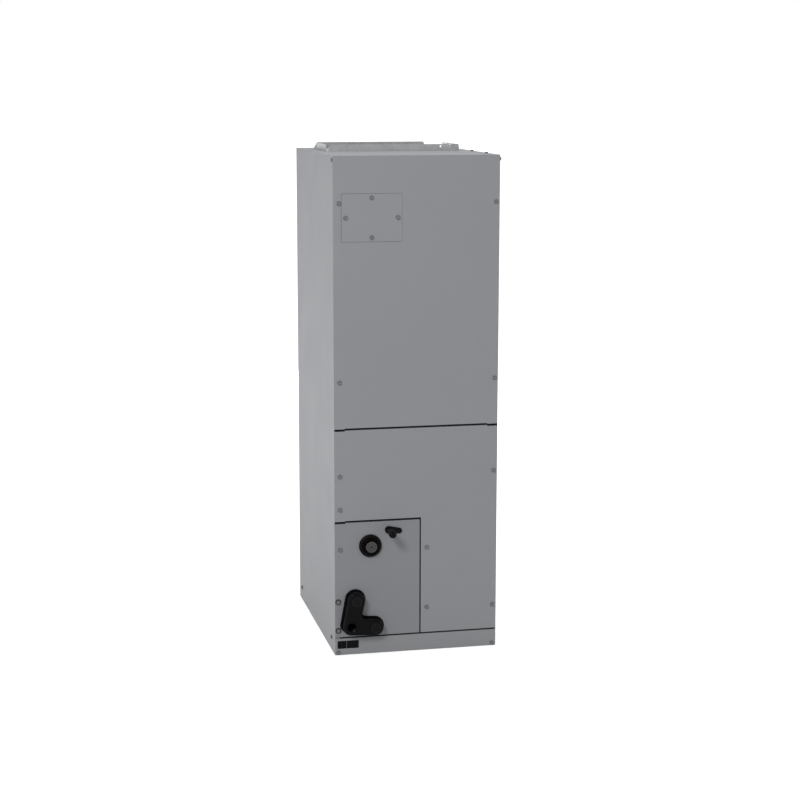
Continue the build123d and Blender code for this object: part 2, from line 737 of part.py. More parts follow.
def blower_panel_liner():
    """Insulation on the back of the blower panel, cut away round the cover plate's opening."""
    half = RIGHT - FRONT_FLANGE - LINER_MARGIN
    z = (SPLIT_HEIGHT + CENTRE_RAIL_HEIGHT / 2 + LINER_MARGIN, HEIGHT - TOP_LIP - LINER_MARGIN)
    board = block((-half, half), (PANEL_BACK, PANEL_BACK + PANEL_LINER), z)
    return board - plate_opening(LINER_MARGIN) - drill_room(PLATE_SCREWS)


def drill_room(places):
    """Room round screw ends, as one shape to cut with."""
    rods = [rod(2 * SCREW_SHANK, p, (0, 1, 0), 2 * SCREW_LENGTH) for p in front_points(places)]
    return Part() + rods


def breaker_cover_plate():
    """Blank plate over the breaker opening."""
    x = (LEFT + PLATE_LEFT, LEFT + PLATE_LEFT + PLATE_WIDTH)
    z = (PLATE_BOTTOM, PLATE_BOTTOM + PLATE_HEIGHT)
    return drilled(block(x, (FRONT - SHEET, FRONT), z), front_points(PLATE_SCREWS), (0, 1, 0))


def coil_panel():
    """L-shaped lower front panel, folded back along every edge that meets another panel."""
    top_mid = SPLIT_HEIGHT - SEAM / 2
    top_end = top_mid - EDGE_STEP
    seam = LEFT + FITTING_WIDTH + SEAM / 2
    low = STRIP_HEIGHT + SEAM / 2
    step = FITTING_TOP + SEAM / 2
    y = (FRONT, PANEL_BACK)
    fold_y = (FRONT, PANEL_BACK + RETURN_DEPTH)
    half = RIGHT - EDGE_STEP_WIDTH
    upper = block((LEFT, RIGHT), y, (step - EDGE_STEP, top_end))
    upper = upper + block((-half, half), y, (top_end, top_mid))
    upper = upper - block((LEFT + EDGE_STEP_WIDTH, seam), y, (step - EDGE_STEP, step))
    leg = block((seam, RIGHT), y, (low, step))
    folds = [
        block((-half + SHEET, half - SHEET), fold_y, (top_mid - SHEET, top_mid)),
        block((seam, half - SHEET), fold_y, (low, low + SHEET)),
        block((seam, seam + SHEET), fold_y, (low, step)),
        block((-half + SHEET, seam + SHEET), fold_y, (step, step + SHEET)),
    ]
    panel = upper + leg + folds
    return drilled(panel, front_points(COIL_SCREWS), (0, 1, 0))


def coil_panel_liner():
    """Insulation on the back of the coil panel, in an L clear of the rails and the post."""
    half = RIGHT - FRONT_FLANGE - LINER_MARGIN
    y = (PANEL_BACK, PANEL_BACK + PANEL_LINER)
    step = FITTING_TOP + RAIL_HEIGHT / 2 + LINER_MARGIN
    inner = LEFT + FITTING_WIDTH + POST_FORWARD + POST_LAND + LINER_MARGIN
    upper = block((-half, half), y, (step, SPLIT_HEIGHT - CENTRE_RAIL_HEIGHT / 2 - LINER_MARGIN))
    leg = block((inner, half), y, (SHELF_HEIGHT + LINER_MARGIN, step))
    return upper + leg


def liquid_lobes(grow):
    """Two-lobed outline round the liquid stub."""
    main = Pos(*LIQUID) * Circle(LIQUID_LOBE + grow)
    side = (LIQUID[0] + LIQUID_SIDE_OFFSET, LIQUID[1] - LIQUID_SIDE_DROP)
    small = Pos(*side) * Circle(LIQUID_SIDE_LOBE + grow)
    return make_hull((main + small).edges())


def fitting_panel():
    """Lower left front panel, with the openings for the pipe stubs and the drain outlets."""
    z_low = STRIP_HEIGHT + SEAM / 2
    top_mid = FITTING_TOP - SEAM / 2
    top_end = top_mid - EDGE_STEP
    right = LEFT + FITTING_WIDTH - SEAM / 2
    y = (FRONT, PANEL_BACK)
    fold_y = (FRONT, PANEL_BACK + RETURN_DEPTH)
    inner = LEFT + EDGE_STEP_WIDTH
    face = block((LEFT, right), y, (z_low, top_end)) + block((inner, right), y, (top_end, top_mid))
    folds = [
        block((inner + SHEET, right), fold_y, (top_mid - SHEET, top_mid)),
        block((right - SHEET, right), fold_y, (z_low, top_mid)),
        block((inner + SHEET, right), fold_y, (z_low, z_low + SHEET)),
    ]
    panel = face + folds
    panel = panel - rod(SUCTION_GROMMET_NECK, (SUCTION[0], FRONT - SHEET, SUCTION[1]), (0, 1, 0), 3 * SHEET)
    panel = panel - front_face(liquid_lobes(-LIQUID_GROMMET_LAP), FRONT - SHEET, 3 * SHEET)
    panel = panel - front_face(drain_outline(CUTOUT_GAP), FRONT - SHEET, 3 * SHEET)
    return drilled(panel, front_points(FITTING_SCREWS + WASHER_SCREWS), (0, 1, 0))


def suction_grommet():
    """Rubber ring in the panel round the suction stub, dished towards the stub."""
    at = (SUCTION[0], FRONT, SUCTION[1])
    nose = rod(SUCTION_GROMMET, at, (0, -1, 0), SUCTION_GROMMET_PROUD)
    nose = fillet(nose.faces().sort_by(Axis.Y)[0].edges(), SUCTION_GROMMET_PROUD / 2)
    neck = rod(SUCTION_GROMMET_NECK, at, (0, 1, 0), SHEET)
    back = rod(SUCTION_GROMMET_BACK, (at[0], PANEL_BACK, at[2]), (0, 1, 0), GROMMET_BACK_THICK)
    ring = nose + neck + back
    hole_start = (at[0], FRONT - 2 * SUCTION_GROMMET_PROUD, at[2])
    ring = ring - rod(SUCTION_GROMMET_HOLE, hole_start, (0, 1, 0), 4 * SUCTION_GROMMET_PROUD)
    dish_top = (at[0], FRONT - SUCTION_GROMMET_PROUD, at[2])
    dish = Plane(origin=dish_top, z_dir=(0, 1, 0)).location * Cone(
        SUCTION_GROMMET - SUCTION_GROMMET_PROUD, SUCTION_GROMMET_HOLE, SUCTION_GROMMET_PROUD,
        align=MIN_END,
    )
    return ring - dish


def suction_plug():
    """Plug with a flange, pushed into the end of the suction stub."""
    tip = FRONT - SUCTION_PROUD
    at = (SUCTION[0], tip - SUCTION_PLUG_THICK, SUCTION[1])
    flange = rod(SUCTION_PLUG, at, (0, 1, 0), SUCTION_PLUG_THICK)
    spigot_radius = SUCTION_RADIUS - SUCTION_WALL - SUCTION_PLUG_CLEARANCE
    spigot = rod(spigot_radius, (at[0], tip, at[2]), (0, 1, 0), SUCTION_PLUG_SPIGOT)
    pinhole = rod(PLUG_PINHOLE, at, (0, 1, 0), SUCTION_PLUG_THICK + SUCTION_PLUG_SPIGOT)
    return flange + spigot - pinhole


def liquid_grommet():
    """Rubber grommet with two lobes, the liquid stub through the larger one."""
    face = front_face(liquid_lobes(0), FRONT - LIQUID_GROMMET_PROUD, LIQUID_GROMMET_PROUD)
    face = fillet(face.faces().sort_by(Axis.Y)[0].edges(), LIQUID_GROMMET_PROUD / 3)
    neck = front_face(liquid_lobes(-LIQUID_GROMMET_LAP), FRONT, SHEET)
    back = front_face(liquid_lobes(-LIQUID_GROMMET_LAP / 2), PANEL_BACK, GROMMET_BACK_THICK)
    hole_start = (LIQUID[0], FRONT - 2 * LIQUID_GROMMET_PROUD, LIQUID[1])
    hole = rod(LIQUID_GROMMET_HOLE, hole_start, (0, 1, 0), 4 * LIQUID_GROMMET_PROUD)
    return face + neck + back - hole


def liquid_cap():
    """Cap with a long neck, slipped over the liquid stub."""
    head_back = FRONT - LIQUID_PROUD - CAP_END + CAP_HEAD_LENGTH
    neck_back = FRONT - LIQUID_GROMMET_PROUD - FIT_GAP
    tip = FRONT - LIQUID_PROUD - CAP_END
    head = rod(CAP_HEAD, (LIQUID[0], tip, LIQUID[1]), (0, 1, 0), CAP_HEAD_LENGTH)
    head = fillet(head.faces().sort_by(Axis.Y)[0].edges(), CAP_HEAD / 4)
    neck = rod(CAP_NECK, (LIQUID[0], head_back, LIQUID[1]), (0, 1, 0), neck_back - head_back)
    hollow_start = (LIQUID[0], FRONT - LIQUID_PROUD - FIT_GAP, LIQUID[1])
    hollow = rod(CAP_SKIRT, hollow_start, (0, 1, 0), LIQUID_PROUD)
    return head + neck - hollow


def drain_gasket():
    """Foam gasket on the panel round the drain outlets."""
    ring = drain_outline(GASKET_WIDTH) - drain_outline(CUTOUT_GAP)
    return front_face(ring, FRONT - GASKET_THICK, GASKET_THICK)


def sealing_washers():
    """Washers under the two screws beside the drain outlets."""
    rings = []
    for point in front_points(WASHER_SCREWS, FRONT - SEALING_WASHER_THICK):
        ring = rod(SEALING_WASHER, point, (0, 1, 0), SEALING_WASHER_THICK)
        rings.append(ring - rod(SCREW_HOLE, point, (0, 1, 0), SEALING_WASHER_THICK))
    return group(rings)


def filter_door():
    """Strip over the filter slot, with an ear at its left end and its top edge folded back."""
    y = (FRONT, PANEL_BACK)
    top = STRIP_HEIGHT - SEAM / 2
    face = block((LEFT, RIGHT), y, (DOOR_LIFT, top))
    ear = block((LEFT, LEFT + DOOR_EAR), y, (top, STRIP_HEIGHT + SEAM / 6))
    half = RIGHT - EDGE_STEP_WIDTH - SHEET
    fold = block((-half, half), (FRONT, PANEL_BACK + RETURN_DEPTH), (top - SHEET, top))
    return drilled(face + ear + fold, front_points(DOOR_SCREWS), (0, 1, 0))


def blank_plates():
    """Two bare plates side by side on the filter door."""
    plates = []
    x = LEFT + BLANK_LEFT
    for width in BLANK_WIDTHS:
        plates.append(
            block((x, x + width), (FRONT - BLANK_THICK, FRONT), (BLANK_BOTTOM, BLANK_BOTTOM + BLANK_HEIGHT))
        )
        x = x + width + BLANK_GAP
    return group(plates)


# Filter section

FILTER_BOTTOM = 2 * SHEET + FIT_GAP
FILTER_Y = PANEL_BACK + FILTER_SETBACK
FILTER_LENGTH = BACK - FILTER_BACK_ROOM - FILTER_Y


def air_filter_frame():
    """Card frame of the filter."""
    half = FILTER_WIDTH / 2
    z = (FILTER_BOTTOM, FILTER_BOTTOM + FILTER_THICK)
    y = (FILTER_Y, FILTER_Y + FILTER_LENGTH)
    outer = block((-half, half), y, z)
    inner_x = half - FILTER_RIM
    inner = block((-inner_x, inner_x), (y[0] + FILTER_RIM, y[1] - FILTER_RIM), (z[0] - SHEET, z[1] + SHEET))
    return outer - inner


def air_filter_media():
    """Pleated media inside the frame: one zigzag sheet."""
    half = FILTER_WIDTH / 2 - FILTER_RIM
    y = (FILTER_Y + FILTER_RIM, FILTER_Y + FILTER_LENGTH - FILTER_RIM)
    pitch = (y[1] - y[0]) / FILTER_PLEATS
    low = FILTER_BOTTOM + SHEET
    high = FILTER_BOTTOM + FILTER_THICK - 2 * SHEET
    lower = []
    for i in range(FILTER_PLEATS):
        lower.append((y[0] + i * pitch, low))
        lower.append((y[0] + (i + 0.5) * pitch, high))
    lower.append((y[1], low))
    upper = [(py, pz + SHEET) for py, pz in reversed(lower)]
    outline = make_face(Polyline(*lower, *upper, close=True))
    return side_face(outline, -half, 2 * half)


def filter_runner(side):
    """Channel that the filter slides in, standing on the base pan."""
    face = FILTER_WIDTH / 2 + RUNNER_GAP
    z = (SHEET, FILTER_BOTTOM + FILTER_THICK + FIT_GAP + SHEET)
    y = (PANEL_BACK + 2 * SHEET, FILTER_Y + FILTER_LENGTH + FIT_GAP)
    web = block((face, face + SHEET), y, z)
    low = block((face - RUNNER_LIP, face), y, (z[0], z[0] + SHEET))
    high = block((face - RUNNER_LIP, face), y, (z[1] - SHEET, z[1]))
    runner = web + low + high
    return runner if side > 0 else mirrored(runner)


# Condensate pans and shelves

PAN_BOTTOM = SHELF_HEIGHT + SHEET
PAN_TOP = PAN_BOTTOM + PAN_HEIGHT


def coil_shelf(side):
    """Angle on the side wall that carries the condensate pan."""
    outer = RIGHT - SHEET
    y = (RAIL_Y + RAIL_FLANGE + SHEET, BACK - 2 * SHEET - LINER)
    flat = block((outer - SHELF_DEPTH, outer), y, (SHELF_HEIGHT, PAN_BOTTOM))
    leg = block((outer - SHEET, outer), y, (SHELF_HEIGHT - SHELF_DROP, PAN_BOTTOM))
    shelf = drilled(flat + leg, side_screws(1), (1, 0, 0))
    return shelf if side > 0 else mirrored(shelf)


def main_drain_pan():
    """Pan with a trough all round under the coil and a raised edge round its air opening."""
    half = PAN_WIDTH / 2
    y = (PAN_FRONT, PAN_BACK)
    body = block((-half, half), y, (PAN_BOTTOM, PAN_TOP))
    inner_x = half - PAN_TROUGH
    inner_y = (PAN_FRONT + PAN_END_TROUGH, PAN_BACK - PAN_END_TROUGH)
    above = (PAN_BOTTOM + PAN_WALL, PAN_TOP + PAN_WALL)
    trough = block(
        (-half + PAN_WALL, half - PAN_WALL), (y[0] + PAN_WALL, y[1] - PAN_WALL), above
    ) - block(
        (-inner_x - PAN_WALL, inner_x + PAN_WALL),
        (inner_y[0] - PAN_WALL, inner_y[1] + PAN_WALL),
        (PAN_BOTTOM, PAN_TOP + 2 * PAN_WALL),
    )
    opening = block((-inner_x, inner_x), inner_y, (PAN_BOTTOM - PAN_WALL, PAN_TOP + PAN_WALL))
    pan = body - trough - opening
    for port in (CORNER_PORT, RIGHT_PORT):
        place = port_place(port)
        pan = pan - rod(PORT_BORE, (place.X, PAN_FRONT - PAN_WALL, place.Y), (0, 1, 0), 3 * PAN_WALL)
    return pan


def side_drain_pan():
    """Pan on the left of the coil, used when the unit is laid on its side, with a rim all round."""
    x = LEFT + SHEET + LINER + SIDE_PAN_GAP
    y = (PAN_FRONT, PAN_BACK)
    z = (PAN_TOP, SIDE_PAN_TOP)
    outer = block((x, x + SIDE_PAN_RIM), y, z)
    inner = block(
        (x + PAN_WALL, x + 2 * SIDE_PAN_RIM),
        (y[0] + PAN_WALL, y[1] - PAN_WALL),
        (z[0] + PAN_WALL, z[1] - PAN_WALL),
    )
    return outer - inner


# Coil

def coil_place(side, along, across):
    """A point of one slab in the XZ plane: along its slope from the foot, and out from its middle."""
    x = COIL_FOOT - along * sin(SLOPE) + across * cos(SLOPE)
    z = COIL_FOOT_HEIGHT + along * cos(SLOPE) + across * sin(SLOPE)
    return Vector(side * x, z)


def slab_outline(side, margin=0.0):
    """The leaning rectangle of one slab."""
    half = FIN_DEPTH / 2 + margin
    foot, head = -margin, COIL_LENGTH + margin
    places = ((foot, -half), (head, -half), (head, half), (foot, half))
    corners = [coil_place(side, along, across) for along, across in places]
    return make_face(Polyline(*[(p.X, p.Y) for p in corners], close=True))


def tube_places(side):
    """Centres of one slab's tubes, in pairs across its thickness, from the foot up."""
    rows = []
    for i in range(TUBES_PER_ROW):
        along = (i + 0.5) * TUBE_PITCH
        rows.append([coil_place(side, along, sign * ROW_PITCH / 2) for sign in (-1, 1)])
    return rows


def tube_hole_face(side, radius):
    """All tube holes of one slab as one drawing."""
    circles = [Pos(p.X, p.Y) * Circle(radius) for pair in tube_places(side) for p in pair]
    return Sketch() + circles


def coil_fins(side):
    """Fins of one slab: fewer and thicker than real ones, with the same metal in all."""
    face = slab_outline(side) - tube_hole_face(side, TUBE_RADIUS + FIN_FIT)
    pitch = (COIL_BACK - COIL_FRONT) / (FINS + 1)
    fin = front_face(face, COIL_FRONT + pitch - FIN_THICK / 2, FIN_THICK)
    return group([Pos(0, i * pitch, 0) * fin for i in range(FINS)])


def tube_sheets(side):
    """End plates of one slab, each with a foot that stands in the pan."""
    floor = PAN_BOTTOM + PAN_WALL
    foot_x = COIL_FOOT
    foot = Pos(side * foot_x, (floor + COIL_FOOT_HEIGHT) / 2) * Rectangle(
        SHEET_FOOT_WIDTH, COIL_FOOT_HEIGHT - floor
    )
    face = slab_outline(side, SHEET_MARGIN) + foot - tube_hole_face(side, TUBE_RADIUS + FIN_FIT)
    front = front_face(face, COIL_FRONT, TUBE_SHEET)
    back = front_face(face, COIL_BACK - TUBE_SHEET, TUBE_SHEET)
    return group([front, back])


def hairpin(pair):
    """One tube that runs back through the slab, turns and comes forward again."""
    first, second = pair
    front = COIL_FRONT - TUBE_STUB
    back = COIL_BACK + TUBE_STUB
    middle = (first + second) * 0.5
    radius = (second - first).length / 2
    path = (
        Line((first.X, front, first.Y), (first.X, back, first.Y))
        + ThreePointArc(
            (first.X, back, first.Y), (middle.X, back + radius, middle.Y), (second.X, back, second.Y)
        )
        + Line((second.X, back, second.Y), (second.X, front, second.Y))
    )
    return pipe_along(path, TUBE_RADIUS, TUBE_WALL)


def pipe_along(path, radius, wall):
    """A pipe swept along a path, square to its start."""
    start = Plane(origin=path @ 0, z_dir=path % 0)
    return sweep(start * Circle(radius) - start * Circle(radius - wall), path=path)


def return_bend(first, second):
    """Bend that joins two tube ends at the front of a slab."""
    front = COIL_FRONT - TUBE_STUB
    middle = (first + second) * 0.5
    radius = (second - first).length / 2
    path = ThreePointArc(
        (first.X, front, first.Y), (middle.X, front - radius, middle.Y), (second.X, front, second.Y)
    )
    return pipe_along(path, TUBE_RADIUS, TUBE_WALL)


def coil_tubes(side):
    """The hairpin tubes of one slab."""
    return group([hairpin(pair) for pair in tube_places(side)])


def return_bends(side):
    """The front bends of one slab, which join its hairpins into circuits."""
    rows = tube_places(side)
    bends = []
    for i in range(TUBES_PER_ROW - 1):
        within = (i + 1) % CIRCUIT != 0
        outer = (i % CIRCUIT) % 2 == 0
        if within:
            row = 1 if outer else 0
            bends.append(return_bend(rows[i][row], rows[i + 1][row]))
    return group(bends)


def circuit_ends(side, row, first):
    """Tube ends where the circuits start (first) or stop, on one row."""
    rows = tube_places(side)
    start = 0 if first else CIRCUIT - 1
    return [rows[i][row] for i in range(start, TUBES_PER_ROW, CIRCUIT)]


def delta_plate(y):
    """Triangular plate that closes one end of the A between the slabs."""
    half = FIN_DEPTH / 2 + SHEET_MARGIN
    low = coil_place(1, 0, -half)
    high = coil_place(1, COIL_LENGTH, -half)
    outline = make_face(
        Polyline((low.X, low.Y), (high.X, high.Y), (-high.X, high.Y), (-low.X, low.Y), close=True)
    )
    return front_face(outline, y, SHEET)


def delta_plates():
    """Front and back plates of the A."""
    return group([delta_plate(COIL_FRONT), delta_plate(COIL_BACK - SHEET)])


def apex_cap():
    """Folded strip over the top of the A, resting on both slabs' ends."""
    lift = SHEET_MARGIN
    points = []
    for side in (1, -1):
        outer = coil_place(side, COIL_LENGTH + lift, APEX_LAP - FIN_DEPTH / 2)
        inner = coil_place(side, COIL_LENGTH + lift, -FIN_DEPTH / 2)
        points.append((outer, inner))
    (right_outer, right_inner), (left_outer, left_inner) = points
    under = [right_outer, right_inner, left_inner, left_outer]
    over = [Vector(p.X, p.Y + SHEET) for p in reversed(under)]
    outline = make_face(Polyline(*[(p.X, p.Y) for p in under + over], close=True))
    return front_face(outline, COIL_FRONT, COIL_BACK - COIL_FRONT)


# Refrigerant pipework

def manifold_points():
    """Route of the suction manifold: up one slab, across and down the other."""
    across = ROW_PITCH / 2
    left = [coil_place(-1, s, across) for s in (MANIFOLD_START, MANIFOLD_END)]
    right = [coil_place(1, s, across) for s in (MANIFOLD_END, MANIFOLD_START)]
    return [(p.X, MANIFOLD_Y, p.Y) for p in left + right]


def suction_manifold():
    """Header in front of both slabs, with a short branch to the end of each circuit."""
    points = manifold_points()
    inner = MANIFOLD_RADIUS - MANIFOLD_WALL
    pipe = bent_pipe(points, MANIFOLD_RADIUS, 0, MANIFOLD_BEND)
    for side in (-1, 1):
        for end in circuit_ends(side, 1, False):
            start = (end.X, MANIFOLD_Y, end.Y)
            pipe = pipe + rod(TUBE_RADIUS, start, (0, 1, 0), COIL_FRONT - TUBE_STUB - MANIFOLD_Y)
    pipe = pipe - bent_pipe(points, inner, 0, MANIFOLD_BEND)
    for point, other in ((points[0], points[1]), (points[-1], points[-2])):
        away = Vector(*point) - Vector(*other)
        pipe = pipe + rod(MANIFOLD_RADIUS, point, away, MANIFOLD_WALL)
    return pipe


def suction_stub():
    """Straight pipe that the suction line is brazed to."""
    tip = FRONT - SUCTION_PROUD
    return tube(SUCTION_RADIUS, SUCTION_WALL, (SUCTION[0], tip, SUCTION[1]), (0, 1, 0), TEE_FRONT - tip)


def suction_tee():
    """Collar between the stub and the manifold."""
    start = (SUCTION[0], TEE_FRONT, SUCTION[1])
    collar = rod(TEE_RADIUS, start, (0, 1, 0), MANIFOLD_Y - TEE_FRONT)
    bore = rod(SUCTION_RADIUS - SUCTION_WALL, start, (0, 1, 0), MANIFOLD_Y - TEE_FRONT)
    filled = bent_pipe(manifold_points(), MANIFOLD_RADIUS, 0, MANIFOLD_BEND)
    return collar - bore - filled


def liquid_line():
    """Liquid pipe from its stub back into the casing and down to the metering device."""
    tip = FRONT - LIQUID_PROUD
    turn = METERING_Y - METERING_BEND
    stub = tube(LIQUID_RADIUS, LIQUID_WALL, (LIQUID[0], tip, LIQUID[1]), (0, 1, 0), turn - tip)
    half = METERING_BEND * (1 - cos(radians(45)))
    arc = ThreePointArc(
        (LIQUID[0], turn, LIQUID[1]),
        (LIQUID[0], METERING_Y - half, LIQUID[1] - half),
        (LIQUID[0], METERING_Y, LIQUID[1] - METERING_BEND),
    )
    drop_start = (LIQUID[0], METERING_Y, LIQUID[1] - METERING_BEND)
    drop = tube(LIQUID_RADIUS, LIQUID_WALL, drop_start, (0, 0, -1), METERING_DROP - METERING_BEND)
    return stub + pipe_along(arc, LIQUID_RADIUS, LIQUID_WALL) + drop


METERING_TOP = LIQUID[1] - METERING_DROP
DISTRIBUTOR_TOP = METERING_TOP - METERING_LENGTH
DISTRIBUTOR_BOTTOM = DISTRIBUTOR_TOP - DISTRIBUTOR_LENGTH


def metering_device():
    """Brass body with a nut at each end, which drops the liquid's pressure."""
    top = (LIQUID[0], METERING_Y, METERING_TOP)
    body = rod(METERING_RADIUS, top, (0, 0, -1), METERING_LENGTH)
    for drop in (0, METERING_LENGTH - METERING_NUT_LENGTH):
        nut = extrude(RegularPolygon(METERING_NUT, 6, major_radius=False), amount=-METERING_NUT_LENGTH)
        body = body + Pos(LIQUID[0], METERING_Y, METERING_TOP - drop) * nut
    return body


def distributor():
    """Brass cone that splits the flow between the feeder tubes."""
    place = Plane(origin=(LIQUID[0], METERING_Y, DISTRIBUTOR_TOP), z_dir=(0, 0, -1)).location
    neck = DISTRIBUTOR_RADIUS / 2
    cone = place * Cone(neck, DISTRIBUTOR_RADIUS, DISTRIBUTOR_LENGTH / 2, align=MIN_END)
    foot = (LIQUID[0], METERING_Y, DISTRIBUTOR_TOP - DISTRIBUTOR_LENGTH / 2)
    return cone + rod(DISTRIBUTOR_RADIUS, foot, (0, 0, -1), DISTRIBUTOR_LENGTH / 2)


def feeder(plane_y, start_x, level, target, bypass=None):
    """One thin tube: down from the distributor, along a level, and back into a circuit's first tube."""
    points = [(start_x, plane_y, DISTRIBUTOR_BOTTOM), (start_x, plane_y, level)]
    if bypass is None:
        points.append((target.X, plane_y, level))
    else:
        points.append((bypass, plane_y, level))
        points.append((bypass, plane_y, target.Y))
    points.append((target.X, plane_y, target.Y))
    points.append((target.X, COIL_FRONT - TUBE_STUB, target.Y))
    return bent_pipe(points, FEEDER_RADIUS, 0, FEEDER_BEND)


def feeder_tubes():
    """The six feeders, those of the right slab in the front plane and of the left one behind."""
    front_plane, back_plane = [FRONT + depth for depth in FEEDER_DEPTHS]
    x = LIQUID[0]
    first_level = DISTRIBUTOR_BOTTOM - FEEDER_DROP
    low, middle, high = circuit_ends(1, 0, True)
    tubes = [
        feeder(front_plane, x + FEEDER_SPREAD, first_level, high),
        feeder(front_plane, x, first_level - FEEDER_STEP, middle),
        feeder(front_plane, x - FEEDER_SPREAD, first_level - 2 * FEEDER_STEP, low),
    ]
    low, middle, high = circuit_ends(-1, 0, True)
    bypass = max(x, high.X) + FEEDER_BYPASS
    tubes.append(feeder(back_plane, x + FEEDER_SPREAD, first_level, high, bypass))
    tubes.append(feeder(back_plane, x - FEEDER_SPREAD, first_level, middle))
    tubes.append(feeder(back_plane, x, first_level - 2 * FEEDER_STEP, low))
    return group(tubes)


# Blower

SCROLL_START = WHEEL_RADIUS + SCROLL_CLEARANCE
SCROLL_SPAN = 360.0 - SCROLL_TONGUE_ANGLE
SCROLL_ARCS = 8


def scroll_point(angle, grow=0.0):
    """A point of the scroll in the YZ plane, its radius growing steadily from the tongue."""
    share = (angle - SCROLL_TONGUE_ANGLE) / SCROLL_SPAN
    radius = SCROLL_START + (SCROLL_REACH - SCROLL_START) * share + grow
    turn = radians(angle)
    return (SHAFT_Y + radius * cos(turn), SHAFT_Z + radius * sin(turn))


def scroll_face(grow=0.0):
    """Outline of the scroll and its throat, grown outwards by the wall when asked."""
    tongue = scroll_point(SCROLL_TONGUE_ANGLE)
    throat_y = tongue[0] - grow
    start_angle = SCROLL_TONGUE_ANGLE + degrees(2 * grow / SCROLL_START)
    step = (360.0 - start_angle) / SCROLL_ARCS
    edges = []
    for i in range(SCROLL_ARCS):
        angles = [start_angle + (i + part) * step for part in (0, 0.5, 1)]
        edges.append(ThreePointArc(*[scroll_point(a, grow) for a in angles]))
    start = scroll_point(start_angle, grow)
    end = scroll_point(360.0, grow)
    throat = [end, (end[0], HOUSING_TOP), (throat_y, HOUSING_TOP)]
    if grow:
        throat.append((throat_y, start[1]))
    edges.append(Polyline(*throat, start))
    return make_face(edges)


def scroll_wrap():
    """Strip that follows the scroll from the throat's front wall round to its rear wall."""
    return side_face(scroll_face(SHEET) - scroll_face(), -HOUSING_SIDE, HOUSING_WIDTH)


def scroll_side(side):
    """Side plate of the blower housing, with its inlet and the flange it hangs by."""
    inlet = Pos(SHAFT_Y, SHAFT_Z) * Circle(INLET_RADIUS)
    plate = side_face(scroll_face(SHEET) - inlet, HOUSING_SIDE, SHEET)
    outer = OUTLET_WIDTH / 2 + BLOWER_FLANGE_LAP
    y = (scroll_point(SCROLL_TONGUE_ANGLE)[0] - SHEET, OUTLET_BACK + SHEET)
    flange = block((HOUSING_SIDE, outer), y, (HOUSING_TOP - SHEET, HOUSING_TOP))
    side_plate = plate + flange + inlet_ring()
    return side_plate if side > 0 else mirrored(side_plate)


def inlet_ring():
    """Rounded lip of the right inlet that leads the air into the wheel."""
    profile = Polyline(
        (INLET_RADIUS, 0), (INLET_RADIUS, SHEET), (INLET_RADIUS - SHEET, INLET_LIP / 3),
        (INLET_RADIUS - 2 * SHEET, INLET_LIP), (INLET_RADIUS - 3 * SHEET, INLET_LIP),
        (INLET_RADIUS - 2 * SHEET, INLET_LIP / 3), (INLET_RADIUS - SHEET, 0), close=True,
    )
    ring = revolve(Plane.XZ * make_face(profile), Axis.Z)
    return Plane(origin=(HOUSING_SIDE + SHEET, SHAFT_Y, SHAFT_Z), z_dir=(-1, 0, 0)).location * ring


def cutoff_plate():
    """Plate at the tongue, with a rolled lower edge that stands off the wheel."""
    tongue = scroll_point(SCROLL_TONGUE_ANGLE)
    x = (-HOUSING_SIDE, HOUSING_SIDE)
    low = tongue[1] + CUTOFF_ROLL
    plate = block(x, (tongue[0], tongue[0] + SHEET), (low, low + CUTOFF_HEIGHT))
    roll_at = (x[0], tongue[0] + CUTOFF_ROLL, low)
    roll = tube(CUTOFF_ROLL, SHEET, roll_at, (1, 0, 0), HOUSING_WIDTH)
    return plate + roll


def wheel_blade():
    """Section of one forward-curved blade, standing on the +Y side of the shaft."""
    outer = WHEEL_RADIUS - SHEET
    inner = outer - BLADE_DEPTH
    middle = (outer + inner) / 2
    tip = (outer, BLADE_BOW)
    heel = (inner, 0)
    under_tip = (outer, BLADE_BOW - BLADE_THICK)
    under_heel = (inner, -BLADE_THICK)
    concave = ThreePointArc(heel, (middle, -BLADE_DIP), tip)
    convex = ThreePointArc(under_tip, (middle, -BLADE_DIP - BLADE_THICK), under_heel)
    return make_face([concave, Line(tip, under_tip), convex, Line(under_heel, heel)])


def blower_wheel():
    """Wheel of forward-curved blades between two rings, held by the slots of a disc in the middle."""
    half = WHEEL_WIDTH / 2
    inner = WHEEL_RADIUS - BLADE_DEPTH - 2 * SHEET
    blade = extrude(wheel_blade(), amount=WHEEL_WIDTH - 2 * WHEEL_RING)
    blade = Pos(0, 0, -half + WHEEL_RING) * blade
    blades = [Rot(0, 0, 360 * i / BLADES) * blade for i in range(BLADES)]
    ring = extrude(Circle(WHEEL_RADIUS) - Circle(inner), amount=WHEEL_RING)
    rings = [Pos(0, 0, low) * ring for low in (-half, half - WHEEL_RING)]
    disc_face = Circle(WHEEL_RADIUS) - Circle(HUB_RADIUS - WHEEL_DISC)
    disc = Pos(0, 0, -WHEEL_DISC / 2) * extrude(disc_face, amount=WHEEL_DISC)
    disc = disc - blades
    return group([on_shaft(piece) for piece in [*blades, *rings, disc]])


def on_shaft(shape):
    """A shape drawn about its own Z axis, turned to lie on the blower's shaft."""
    return Plane(origin=(0, SHAFT_Y, SHAFT_Z), z_dir=(1, 0, 0)).location * shape


def wheel_hub():
    """Hub between the wheel's disc and the shaft, in two flanged halves."""
    groove = (HUB_RADIUS, HUB_RADIUS - WHEEL_DISC)
    hub = Cylinder(groove[0], HUB_LENGTH) - Cylinder(SHAFT_RADIUS, HUB_LENGTH)
    hub = hub - (Cylinder(groove[0], WHEEL_DISC) - Cylinder(groove[1], WHEEL_DISC))
    screw_hole = Pos(0, 0, HUB_LENGTH / 4) * Rot(90, 0, 0) * Cylinder(SET_SCREW, HUB_RADIUS, align=MIN_END)
    return on_shaft(hub - screw_hole)


